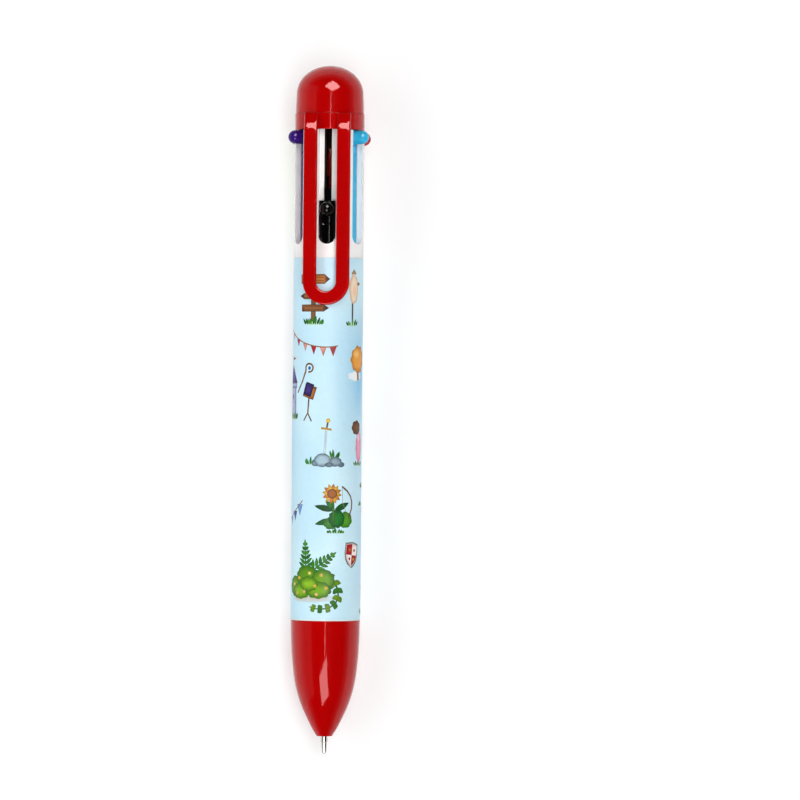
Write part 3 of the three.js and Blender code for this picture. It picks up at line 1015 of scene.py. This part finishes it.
def lantern():
    """A tall paper lantern on a thin post."""
    return [
        shape(rect(-0.2, 0, 0.2, 4.6), "5A4A34", "2E2418", 0.15),
        shape(leafy(0.4, 7.4, 1.35, 3.2, 5, 0.08, 5), "F8E6CE", "D8B08A", 0.7),
        shape(oval(0.6, 6.9, 0.7, 1.6), "F8C8A0", "F8E0C4", 0.5),
        shape([(-0.4, 10.4), (1.2, 10.4), (0.4, 11.4)], "C9A06A", "8A6A3A", 0.3),
        shape(oval(1.9, 8.4, 0.5, 0.35, 12), "B89A6A", "8A6A3A", 0.2),
        *grass(0, 0, 2.6, 12, 1.8),
    ]


def staff():
    """A tall staff with a curled top and a small blue lamp in the curl."""
    angles = np.linspace(3.5, -1.9, 18)
    curl = [(3.2 + 0.85 * math.cos(a), 5.1 + 0.85 * math.sin(a)) for a in angles]
    return [
        stroke([(0, 0), (1.4, 2.2), (2.3, 4.3), *curl], 0.36, "A8743A", "6A4420"),
        shape(oval(3.25, 5.05, 0.32, 0.38, 12), "3A8ADA", "2A5AA0", 0.15),
    ]


def tower(stone, roof, top):
    """A small round tower with a pointed roof and a pennant."""
    dark, eaves = "4E5568", top * 0.66
    shapes = [
        shape(rect(-1.5, 0, 1.5, top * 0.62), stone, dark, 0.6),
        shape(rect(-1.8, top * 0.56, 1.8, eaves), stone, dark, 0.3),
        shape([(-2.0, eaves), (2.0, eaves), (0, top)], roof, None, 0.5),
        shape(oval(0, top * 0.4, 0.4, 0.6), "39435C", "252C40", 0.15),
        shape(rect(-0.06, top * 0.97, 0.06, top + 1.6), "6B4A2C", None, 0.05),
        shape([(0, top + 1.6), (1.4, top + 1.2), (0, top + 0.8)], "D23A3A", None, 0.25),
    ]
    for row in range(3):
        for k in range(3):
            x = -1.1 + k * 0.85 + (row % 2) * 0.35
            y = 0.5 + row * 1.35
            shapes.append(shape(rect(x, y, x + 0.5, y + 0.28), "A9B1C2", "8E97AC", 0.1))
    return shapes + grass(0, 0, 4.2, 21)


def book_stand():
    """A dark book on a tilted wooden board with a thin stand."""
    wood, dark = "A86A30", "5A3414"
    board = [
        shape(rect(-1.25, 4.5, 1.75, 7.5), "B8702E", dark, 0.4),
        shape(rect(-1.15, 4.9, 0.95, 7.9), "2C2058", "120C2C", 0.3),
        shape(rect(-0.85, 5.3, 0.65, 7.5), "453684", "2C2058", 0.3),
    ]
    return [
        stroke([(0.1, 5.0), (-0.2, 1.4)], 0.34, wood, dark),
        stroke([(-0.2, 1.6), (-1.2, 0)], 0.28, wood, dark),
        stroke([(-0.2, 1.6), (0.7, -0.1)], 0.28, wood, dark),
        *scaled(board, 0, 6.2, 0.9, -18),
    ]


def toadstool(cap, size, seed):
    shapes = [
        shape(oval(0, 0.9 * size, 0.55 * size, 1.2 * size), "FFF4DC", "D8BE94", 0.3),
        shape(half_round(2.0 * size, 1.6 * size, 1.9 * size, 15), cap, None, 0.6),
    ]
    for x, y, r in ((-0.9, 2.2, 0.28), (0.1, 2.75, 0.34), (0.95, 2.15, 0.26)):
        spot = oval(x * size, y * size, r * size, r * size, 10)
        shapes.append(shape(spot, "FFF6EA", "F6D8C0", 0.1))
    return shapes + grass(0, 0, 2.6 * size, seed, 0.8)


def sword_in_stones():
    """A plain sword standing in a heap of smooth stones."""
    stones = (
        (3.4, 0.35, 0.8, 0.55, "7F919E"),
        (2.2, 0.9, 1.4, 1.0, "93A9B6"),
        (-1.9, 0.6, 0.9, 0.65, "8DA3B0"),
        (-0.5, 1.2, 1.75, 1.4, "A9C6D4"),
        (0.9, 0.3, 0.9, 0.5, "8496A2"),
    )
    return [
        stroke([(0.25, 7.2), (-0.05, 2.6)], 0.46, "EAF4FA", "9DB4C4"),
        stroke([(0.6, 9.1), (0.3, 7.4)], 0.36, "8A641A", "4A340E"),
        stroke([(-0.8, 7.75), (1.35, 7.45)], 0.42, "F2C41E", "B8860E"),
        shape(oval(0.65, 9.3, 0.44, 0.44, 12), "F8CE1E", "B8860E", 0.2),
        *grass(-3.1, 0.5, 1.7, 31, 1.8),
        *grass(1.8, 1.7, 1.9, 32, 2.3),
        *[
            shape(leafy(x, y, ru, rv, 5, 0.05, 30 + k), colour, "4A6070", 0.6)
            for k, (x, y, ru, rv, colour) in enumerate(stones)
        ],
    ]


def flower_bush(petals, seed):
    """A low bush with round flowers."""
    rng = random.Random(seed)
    shapes = [
        shape(leafy(0, 1.9, 1.9, 2.0, 8, 0.16, seed), "5F9E3C", "2F6424", 0.7),
        shape(leafy(-0.5, 2.5, 1.0, 1.0, 6, 0.16, seed + 1), "86BE52", "5F9E3C", 0.5),
    ]
    for _ in range(7):
        a, r = rng.uniform(0, 2 * math.pi), rng.uniform(0.2, 1.4)
        x, y = r * math.cos(a), 2.0 + r * math.sin(a)
        shapes.append(shape(leafy(x, y, 0.5, 0.5, 5, 0.3, seed + 9), petals, None, 0.25))
        shapes.append(shape(oval(x, y, 0.15, 0.15, 8), "FFE08A", "F0C050", 0.05))
    return shapes + grass(0, 0, 3.4, seed + 4)


def sunflower():
    """A tall sunflower with broad leaves in a low bush, and a bow that leans against it."""
    limb = [(1.5, 9.4), (2.7, 8.5), (3.6, 7.4), (4.0, 6.2), (3.9, 4.8), (3.3, 3.4), (3.0, 2.9)]
    return [
        blade(-0.4, 4.6, 4.0, -78, 1.3, "146A2A"),
        blade(-0.4, 2.6, 3.9, -104, 1.3, "1C6E2C"),
        shape(leafy(2.3, 2.6, 1.8, 1.7, 7, 0.1, 41), "579E1E", "24701A", 0.8),
        shape(leafy(-0.9, 1.9, 1.5, 1.3, 7, 0.12, 47), "3C8E20", "1B661C", 0.7),
        shape(leafy(0.4, 2.8, 1.8, 1.9, 8, 0.12, 42), "1F7E26", "0E4E1E", 0.9),
        stroke([(-0.2, 2.0), (-0.5, 7.0)], 0.55, "3F8A1E", "1E5A14"),
        blade(0.1, 4.6, 3.4, 64, 1.3, "146A2A"),
        blade(-0.4, 5.0, 2.2, -46, 1.0, "2A8A22"),
        *[
            blade(-0.6, 7.9, 2.1, 30 * k + 8, 1.0, ("F28C1E", "FFC42E")[k % 2])
            for k in range(12)
        ],
        shape(oval(-0.6, 7.9, 1.05, 1.0), "A8622A", "6A3812", 0.4),
        stroke(limb, 0.34, "9A6230", "5A3414"),
        stroke([limb[0], (1.7, 6.0), limb[-1]], 0.1, "9C8A76", "8A7A66"),
        *grass(0.2, 0, 3.6, 46, 1.2),
    ]


def shield():
    """A plain quartered shield with a dot in each quarter, leaning a little."""

    def outline(grow):
        side = [(1.9, 4.2), (1.95, 2.6), (1.6, 1.3), (0.9, 0.4), (0, -0.3)]
        right = [((x + grow) * 0.86, y + (grow if y > 4 else -grow)) for x, y in side]
        left = [(-x, y) for x, y in right[:-1]][::-1]
        return [(0, 4.5 + grow), *right, *left]

    red, gold = "C0141E", "F2B82A"
    upper_left = [(-1.55, 4.1), (0, 4.4), (0, 2.1), (-1.55, 2.1)]
    lower_right = [(0, 2.1), (1.55, 2.1), (1.25, 1.2), (0.7, 0.45), (0, -0.1)]
    dots = ((-0.65, 3.1, gold), (0.65, 3.1, red), (-0.55, 1.3, red), (0.55, 1.3, gold))
    shapes = [
        shape(outline(0.28), "7E8E8A", "4A5654", 0.2),
        shape(outline(0.0), "FCF0EC", "D8B8B4", 0.3),
        shape(upper_left, red, "8A1418", 0.3),
        shape(lower_right, red, "8A1418", 0.3),
        *[shape(oval(x, y, 0.26, 0.3, 10), colour, None, 0.1) for x, y, colour in dots],
    ]
    return scaled(shapes, 0, 2, 1.0, -6)


def fir(size):
    """A fir tree of three tiers."""
    tiers = (
        (1.5, 0.6, 2.6, "2F7A34"),
        (1.2, 1.6, 3.4, "3C8E3A"),
        (0.85, 2.6, 4.2, "52A644"),
    )
    shapes = [shape(rect(-0.2, 0, 0.2, 0.9), "7A4A28", "4A2A14", 0.1)]
    for w, low, high, colour in tiers:
        edge = [(-w, low), (-w * 0.3, low - 0.15), (w * 0.4, low - 0.1), (w, low + 0.05)]
        shapes.append(shape([*edge, (0, high)], colour, "1C5426", 0.5))
    return scaled(shapes, 0, 0, size)


def fern(u, v, length, lean):
    """A fern frond with paired leaflets."""
    dark, light = "2C8A1C", "46A426"
    reach_u, reach_v = (length * f(math.radians(lean)) for f in (math.sin, math.cos))
    shapes = [stroke([(u, v), (u + reach_u, v + reach_v)], 0.3, "2C7A1C", "1A5010")]
    for k in range(6):
        share = 0.16 + 0.15 * k
        leaflet = length * (0.42 - 0.34 * share)
        for side in (-52, 52):
            foot = (u + reach_u * share, v + reach_v * share)
            shapes.append(blade(*foot, leaflet, lean + side, 0.75, (dark, light)[k % 2]))
    tip = (u + reach_u * 0.85, v + reach_v * 0.85)
    return [*shapes, blade(*tip, length * 0.25, lean, 0.6, light)]


def ivy():
    """A strand of ivy that hangs in a bow, its leaves in pairs."""
    path = [(2.8, 1.2), (4.2, 0.2), (5.0, -1.2), (5.2, -2.8), (4.6, -4.2)]
    path += [(3.3, -5.1), (1.7, -5.4), (0.2, -5.3), (-0.9, -4.9)]
    shapes = [stroke(path, 0.5, "5E8E14", "2F6A0A", taper=0.4)]
    for k, ((x0, y0), (x1, y1)) in enumerate(zip(path, path[1:], strict=False)):
        lean = math.degrees(math.atan2(x1 - x0, y1 - y0))
        for side in (-1, 1):
            colour = ("7CAE14", "3F8A1E")[(k + side) % 2]
            shapes.append(blade(x0, y0, 1.7 - 0.1 * k, lean + side * 48, 1.1, colour))
    return shapes


def flower_bed():
    """A bank of low bushes in flower, with two ferns behind and an ivy strand round its edge."""
    mounds = (
        (-4.6, -0.8, 2.4, 2.2, "6A9E14"),
        (-1.6, 1.2, 2.8, 2.3, "5F9612"),
        (1.9, 0.4, 2.6, 2.4, "6FA416"),
        (-3.2, -1.7, 2.6, 1.7, "86B81C"),
        (0.9, -1.5, 2.9, 1.8, "7CB01A"),
        (-1.2, -0.3, 2.2, 1.6, "90C224"),
    )
    flowers = [(-5.2, -0.4), (-3.6, 0.9), (-2.2, -1.9), (-0.9, 1.9), (0.3, -0.7)]
    flowers += [(1.6, 1.5), (2.6, -1.1), (-4.2, -2.2), (0.6, -2.4)]
    shapes = [shape(oval(-0.6, -3.2, 5.2, 0.9), "C9BFA6", "C4DFEA", 0.7)]
    shapes += fern(-1.8, 1.8, 6.4, -2) + fern(-1.0, 1.8, 6.6, 52) + ivy()
    for k, (x, y, ru, rv, colour) in enumerate(mounds):
        shapes.append(shape(leafy(x, y, ru, rv, 10, 0.1, 60 + k), colour, "2E6A08", 1.1))
    for k, (x, y) in enumerate(flowers):
        colour = ("FBEFA0", "F8D03A", "F6C8D8")[k % 3]
        shapes.append(shape(leafy(x, y, 0.42, 0.38, 5, 0.3, 80 + k), colour, "C8A83A", 0.22))
    return shapes


def golden_tree():
    """A small tree in autumn colours, with a cloud behind its foot."""
    return [
        *cloud(-0.2, 0.9, 2.4, 111),
        stroke([(0.9, 0), (0.6, 3)], 0.6, "9A5E26", "5A3414"),
        shape(leafy(0.9, 4.3, 2.5, 2.9, 9, 0.14, 112), "EFA23A", "B8701E", 0.8),
        shape(leafy(0.2, 5.4, 1.1, 1.1, 7, 0.12, 113), "F8CC6E", "EFA23A", 0.5),
    ]


def lupin():
    """A tall pink flower with a brown head."""
    return [
        *grass(-0.4, 0, 2.4, 131, 1.6),
        shape(leafy(0, 3.6, 1.25, 3.3, 11, 0.1, 132), "F4A8C0", "D67C9C", 0.7),
        shape(leafy(-0.1, 5.6, 0.7, 1.0, 7, 0.1, 133), "FBD0DC", "F4A8C0", 0.4),
        shape(leafy(-1.0, 7.6, 1.5, 1.5, 7, 0.12, 134), "7E4A2A", "4A2814", 0.6),
    ]


def castle():
    """A grey castle with two towers, banners and an arched door."""
    dark, pale = "566074", "B4BCC8"
    shapes = [shape(rect(-5.0, 0, 5.0, 7.2), "9FA8B8", dark, 1.0)]
    for x in (-5.6, 5.6):
        banner = [(x - 0.7, 8.6), (x + 0.7, 8.6), (x + 0.7, 6.2), (x, 5.4), (x - 0.7, 6.2)]
        battlements = [rect(x + left, 10.3, x + left + 1.0, 11.5) for left in (-2.1, -0.6, 0.9)]
        shapes += [
            shape(rect(x - 1.9, 0, x + 1.9, 10.4), "A9B2C0", dark, 0.9),
            *[shape(block, pale, dark, 0.3) for block in battlements],
            shape(rect(x - 2.2, 9.7, x + 2.2, 10.5), pale, dark, 0.3),
            shape(banner, "C8323A", "7E161E", 0.35),
            shape(oval(x, 7.3, 0.3, 0.3, 10), "F2C84A", "C08A20", 0.1),
        ]
    for k in range(5):
        x = -4.0 + k * 1.7
        shapes.append(shape(rect(x, 7.1, x + 1.1, 8.3), pale, dark, 0.3))
    arch = [(2.5, 0), *half_round(2.5, 3.2, 2.4, 17), (-2.5, 0)]
    door = [(1.9, 0), *half_round(1.9, 3.1, 1.9, 15), (-1.9, 0)]
    shapes.append(shape(arch, "6E7688", "3E4658", 0.4))
    shapes.append(shape(door, "7A4526", "3C1E0E", 0.5))
    for k in range(5):
        x = -1.5 + k * 0.75
        shapes.append(shape(rect(x, 0.1, x + 0.08, 4.2), "4A2814", "4A2814", 0.03))
    for row in range(4):
        for k in range(3):
            for side in (-1, 1):
                x = side * (2.9 + k * 0.95 + (row % 2) * 0.35)
                stone = rect(x - 0.3, 1.0 + row * 1.5, x + 0.3, 1.35 + row * 1.5)
                shapes.append(shape(stone, "B9C1CC", "98A2B2", 0.1))
    return shapes + grass(0, -0.1, 15.0, 81, 1.3)


def pictures():
    """Every picture on the film, in painting order, at its place round the pen and along it."""
    blue = ("6F9FDC", "2E5CB0")
    red = ("EE9C8E", "B8222A")
    front = (
        at(-2.7, 87.1, signpost()),
        at(5.9, 86.9, lantern()),
        bunting((-9.6, 85.8), (2.5, 82.6), 1.4, red, 6, 2.1),
        at(-8.9, 67.8, tower("A9B4DC", "46388C", 11.0)),
        at(-6.7, 73.0, staff()),
        at(-3.6, 67.3, book_stand()),
        at(7.1, 75.6, golden_tree()),
        at(0.0, 58.1, sword_in_stones()),
        at(8.5, 58.4, lupin()),
        bunting((-9.8, 47.3), (-4.9, 51.1), 0.3, blue, 3, 2.5),
        at(2.2, 44.6, sunflower()),
        at(6.3, 37.9, shield()),
        at(-2.1, 34.4, flower_bed()),
        grass(10.6, 53.9, 1.4, 171, 1.4),
        grass(9.4, 50.2, 1.0, 172, 1.1),
        grass(10.8, 28.1, 1.4, 173, 1.4),
    )
    back = (
        at(17.0, 62.0, scaled(castle(), 0, 0, 0.66)),
        cloud(15.0, 82.0, 2.8, 141),
        cloud(-17.5, 92.5, 3.0, 143),
        cloud(-18.0, 57.0, 2.4, 145),
        bunting((12.2, 97.0), (21.4, 96.2), 1.4, blue, 7),
        at(15.5, 86.6, flower_bush("F4D04E", 151)),
        at(20.0, 87.0, toadstool("C8343A", 1.1, 153)),
        at(-15.0, 70.0, fir(1.6)),
        at(-18.2, 70.6, fir(1.3)),
        grass(-16.4, 70.0, 7.0, 157),
        at(-17.6, 80.4, tower("A9B2C0", "C8343A", 8.0)),
        at(-12.6, 81.4, shield()),
        at(-14.2, 45.0, lantern()),
        at(-18.4, 33.0, signpost()),
        at(15.2, 32.4, sword_in_stones()),
        at(-12.2, 30.4, flower_bush("C9A4E0", 161)),
        at(18.6, 47.4, book_stand(), grass(0, 0, 4.0, 163)),
        at(12.6, 47.0, toadstool("D86A9A", 1.0, 165)),
        at(-13.0, 58.2, flower_bush("F08A5A", 167)),
    )
    return [item for picture in front + back for item in picture]


def inside(points, outline):
    """Which of the points lie in an outline."""
    polygon = np.array(outline)
    x, y = points[:, 0], points[:, 1]
    result = np.zeros(len(points), bool)
    for (x0, y0), (x1, y1) in zip(polygon, np.roll(polygon, -1, axis=0), strict=True):
        crosses = (y0 > y) != (y1 > y)
        rise = np.where(y1 == y0, 1e-12, y1 - y0)
        result ^= crosses & (x < (x1 - x0) * (y - y0) / rise + x0)
    return result


def edge_distance(points, outline):
    """Each point's distance to an outline."""
    polygon = np.array(outline)
    best = np.full(len(points), 1e9)
    for a, b in zip(polygon, np.roll(polygon, -1, axis=0), strict=True):
        along = b - a
        t = np.clip(((points - a) @ along) / max(1e-12, along @ along), 0, 1)
        best = np.minimum(best, np.linalg.norm(points - (a + t[:, None] * along), axis=1))
    return best


def sky(points):
    """The pale blue between the pictures, deeper in a few soft patches, at each (u, v)."""
    deep, pale, rich = (np.array(srgb(code)) for code in ("C2E8FA", "D4F4FF", "86CDF6"))
    shares = [noise.noise(Vector((u * 0.13, v * 0.09, 4.0))) for u, v in points]
    shares = np.clip(0.5 + 0.9 * np.array(shares), 0, 1)[:, None]
    colours = deep + (pale - deep) * shares
    patches = ((8.6, 76.5, 2.9, 8.0, 0.85), (-12.0, 60.0, 3.0, 8.0, 0.7), (15.0, 45.0, 4.0, 7.0, 0.7))
    for u, v, ru, rv, strength in patches:
        reach = ((points[:, 0] - u) / ru) ** 2 + ((points[:, 1] - v) / rv) ** 2
        share = (strength * np.exp(-reach))[:, None]
        colours = colours + (rich - colours) * share
    return colours


def film_triangles(shapes, columns, rows):
    """The unrolled film cut along every outline and along a grid: its points and triangles."""
    half = math.pi * PRINT_RADIUS
    us = np.linspace(-half, half, columns + 1)
    vs = np.linspace(PRINT_START, PRINT_END, rows + 1)
    points = [Vector((u, v)) for v in vs for u in us]
    stride = columns + 1
    edges = [(r * stride + c, r * stride + c + 1) for r in range(rows + 1) for c in range(columns)]
    edges += [(r * stride + c, (r + 1) * stride + c) for r in range(rows) for c in range(stride)]
    for item in shapes:
        start, count = len(points), len(item["outline"])
        points += [Vector(p) for p in item["outline"]]
        edges += [(start + k, start + (k + 1) % count) for k in range(count)]
    points, _, faces, *_ = delaunay_2d_cdt(points, edges, [], 0, 1e-5)
    return np.array([tuple(p) for p in points]), np.array([f for f in faces if len(f) == 3])


def paint(points, triangles, shapes):
    """The colour of each triangle's corners: the top shape's, darker near that shape's edge."""
    centres = points[triangles].mean(axis=1)
    top = np.full(len(triangles), -1)
    for index, item in enumerate(shapes):
        low, high = np.min(item["outline"], axis=0), np.max(item["outline"], axis=0)
        near = np.all((centres > low) & (centres < high), axis=1).nonzero()[0]
        top[near[inside(centres[near], item["outline"])]] = index
    colours = sky(points)[triangles]
    for index, item in enumerate(shapes):
        chosen = (top == index).nonzero()[0]
        corners = points[triangles[chosen]].reshape(-1, 2)
        share = np.clip(edge_distance(corners, item["outline"]) / item["fade"], 0, 1)[:, None]
        edge, fill = np.array(item["edge"]), np.array(item["fill"])
        colours[chosen] = (edge + (fill - edge) * share).reshape(-1, 3, 3)
    return colours


def make_film():
    """The printed film: the painted sheet rolled round the barrel, closed by a plain inside."""
    columns, rows = 144, 60
    shapes = pictures()
    points, triangles = film_triangles(shapes, columns, rows)
    colours = paint(points, triangles, shapes)

    def rolled(radius, angle, station):
        return (radius * math.sin(angle), station, radius * math.cos(angle))

    verts = [rolled(PRINT_RADIUS, u / PRINT_RADIUS, v) for u, v in points]
    faces = [list(map(int, t)) for t in triangles]
    start = len(verts)
    wide, narrow = (PRINT_RADIUS, PRINT_INNER), (PRINT_INNER, PRINT_RADIUS)
    rings = [(r, PRINT_START) for r in wide] + [(r, PRINT_END) for r in narrow]
    for radius, station in rings:
        for k in range(columns):
            verts.append(rolled(radius, -math.pi + 2 * math.pi * k / columns, station))
    for ring in range(3):
        for k in range(columns):
            a, b = start + ring * columns + k, start + ring * columns + (k + 1) % columns
            faces.append([a, b, b + columns, a + columns])
    mesh = bpy.data.meshes.new("film")
    mesh.from_pydata(verts, [], faces)
    mesh.transform(pen_matrix())
    attribute = mesh.color_attributes.new("artwork", "FLOAT_COLOR", "CORNER")
    plain = np.ones((sum(len(f) for f in faces), 4), np.float32)
    plain[: 3 * len(triangles), :3] = colours.reshape(-1, 3)
    attribute.data.foreach_set("color", plain.ravel())
    bm = bmesh.new()
    bm.from_mesh(mesh)
    bmesh.ops.remove_doubles(bm, verts=bm.verts, dist=2e-7)
    bmesh.ops.recalc_face_normals(bm, faces=bm.faces)
    bm.to_mesh(mesh)
    bm.free()
    obj = linked("film", mesh)
    mesh.shade_smooth()
    mesh.set_sharp_from_angle(angle=math.radians(40))
    normals = []
    for polygon in mesh.polygons:
        for loop in polygon.loop_indices:
            spot = mesh.vertices[mesh.loops[loop].vertex_index].co
            radial = Vector((spot.x, 0, spot.z - AXIS_Z)).normalized()
            outward = polygon.normal.dot(radial)
            curved = abs(outward) > 0.9
            normals.append(radial * math.copysign(1, outward) if curved else polygon.normal)
    mesh.normals_split_custom_set([tuple(n) for n in normals])
    return place(obj, "root", ["print_sleeve"], "printed_film", FILM)


# ---- Stage, light and camera ------------------------------------------------------------------

LOWEST_PEG = 125.2  # the station of the peg that the pen rests on
VIEW_LEAN = math.radians(2.6)  # the camera stands a little to the pen's +X side
VIEW_ROLL = math.radians(0.53)
VIEW_DISTANCE = 1.1
FRAME_WIDTH = 0.1638  # metres across the picture at the pen's depth
AIM_RIGHT = 0.0149  # how far the picture's centre lies beside the pen, and above its middle
AIM_UP = 0.0020
SENSOR_WIDTH = 36


def make_camera():
    """Straight above the pen, a little to its right, as a product shot is taken."""
    forward = -Vector((math.sin(VIEW_LEAN), 0, math.cos(VIEW_LEAN)))
    side = Vector((math.cos(VIEW_LEAN), 0, -math.sin(VIEW_LEAN)))
    right = side * math.cos(VIEW_ROLL) + Vector((0, 1, 0)) * math.sin(VIEW_ROLL)
    up = Vector((0, 1, 0)) * math.cos(VIEW_ROLL) - side * math.sin(VIEW_ROLL)
    data = bpy.data.cameras.new("camera")
    data.sensor_width = SENSOR_WIDTH
    data.lens = SENSOR_WIDTH * VIEW_DISTANCE / FRAME_WIDTH
    data.clip_end = 10
    camera = linked("camera", data)
    middle = Vector((0, 0, AXIS_Z))
    spot = middle + right * AIM_RIGHT + up * AIM_UP - forward * VIEW_DISTANCE
    axes = Matrix((right, up, -forward)).transposed().to_4x4()
    camera.matrix_world = Matrix.Translation(spot) @ axes
    bpy.context.scene.camera = camera


def make_floor():
    """A white floor that the lowest peg and the barrel's front rim rest on."""
    peg_y = ZERO_Y + LOWEST_PEG * MM
    rim_y = ZERO_Y + NOSE_SEAM * MM
    rim_z = AXIS_Z - BARREL_RADIUS * MM
    size = 3.0
    corners = [(-size, -size, 0), (size, -size, 0), (size, size, 0), (-size, size, 0)]
    mesh = bpy.data.meshes.new("floor")
    mesh.from_pydata(corners, [], [[0, 1, 2, 3]])
    floor = linked("floor", mesh)
    tilt = Matrix.Rotation(math.atan(rim_z / (rim_y - peg_y)), 4, "X")
    floor.matrix_world = Matrix.Translation((0, peg_y, 0)) @ tilt
    surface = Surface("floor", (0.5, 0.5, 0.5), 0.8, emission_strength=0.51)
    surface.shader.inputs["Emission Color"].default_value = (1, 1, 1, 1)
    surface.shader.inputs["Specular IOR Level"].default_value = 0.0
    mesh.materials.append(surface.material)


def softbox(name, centre, along, size, radiance, seen=True, lights=True):
    """A rectangular lamp that faces the pen, for the gloss, the even light or both."""
    data = bpy.data.lights.new(name, "AREA")
    data.shape = "RECTANGLE"
    data.size, data.size_y = size
    data.energy = radiance * math.pi * size[0] * size[1]
    lamp = linked(name, data)
    away = Vector(centre).normalized()
    side = Vector(along).cross(away).normalized()
    axes = Matrix((side, away.cross(side), away)).transposed().to_4x4()
    lamp.matrix_world = Matrix.Translation(centre) @ axes
    lamp.visible_camera = False
    lamp.visible_glossy = seen
    lamp.visible_diffuse = lights


def make_world():
    """A dark studio above and light walls near the floor, for the pale rims on gloss."""
    world = bpy.data.worlds.new("studio")
    bpy.context.scene.world = world
    world.use_nodes = True
    nodes, links = world.node_tree.nodes, world.node_tree.links
    where = nodes.new("ShaderNodeTexCoord")
    split = nodes.new("ShaderNodeSeparateXYZ")
    links.new(where.outputs["Generated"], split.inputs[0])
    ramp = nodes.new("ShaderNodeValToRGB")
    stops = ((0.0, 0.4), (0.12, 0.36), (0.25, 0.15), (0.42, 0.02), (1.0, 0.01))
    while len(ramp.color_ramp.elements) < len(stops):
        ramp.color_ramp.elements.new(0.5)
    for element, (height, level) in zip(ramp.color_ramp.elements, stops, strict=True):
        element.position = height
        element.color = (level, level, level, 1)
    links.new(split.outputs["Z"], ramp.inputs["Fac"])
    links.new(ramp.outputs["Color"], nodes["Background"].inputs["Color"])


# Lamps that only the gloss mirrors: name, centre, direction of the long side, size, radiance.
GLOSS_LIGHTS = (
    ("key", (0.137, 0.46, 0.60), (0.6, -0.43, 0.37), (0.48, 0.48), 18.0),
    ("front", (0.01, -0.46, 0.78), (-0.3, 0.79, 0.53), (0.43, 0.43), 9.0),
    ("strip", (0.064, 0.0, 0.9), (0.147, 1, 0), (0.022, 0.45), 13.0),
    ("left_panel", (-0.92, 0.0, 0.38), (0, 1, 0), (0.9, 1.4), 0.45),
)
# Lamps that give the even light and don't show in the gloss.
EVEN_LIGHTS = (
    ("top", (0.21, 0.0, 1.0), (0, 1, 0), (0.5, 1.4), 4.85),
    ("left_fill", (-0.7, 0.0, 0.7), (0, 1, 0), (0.5, 1.4), 2.2),
)


def make_lights():
    for light in GLOSS_LIGHTS:
        softbox(*light, lights=False)
    for light in EVEN_LIGHTS:
        softbox(*light, seen=False)


# ---- Assembly ---------------------------------------------------------------------------------

make_camera()
make_floor()
make_world()
make_lights()

make_nose()
make_barrel()
make_film()
make_collar()
make_dome()
make_clip()
make_colours()
finish_cad_nodes()

bpy.context.scene.view_settings.view_transform = "Standard"
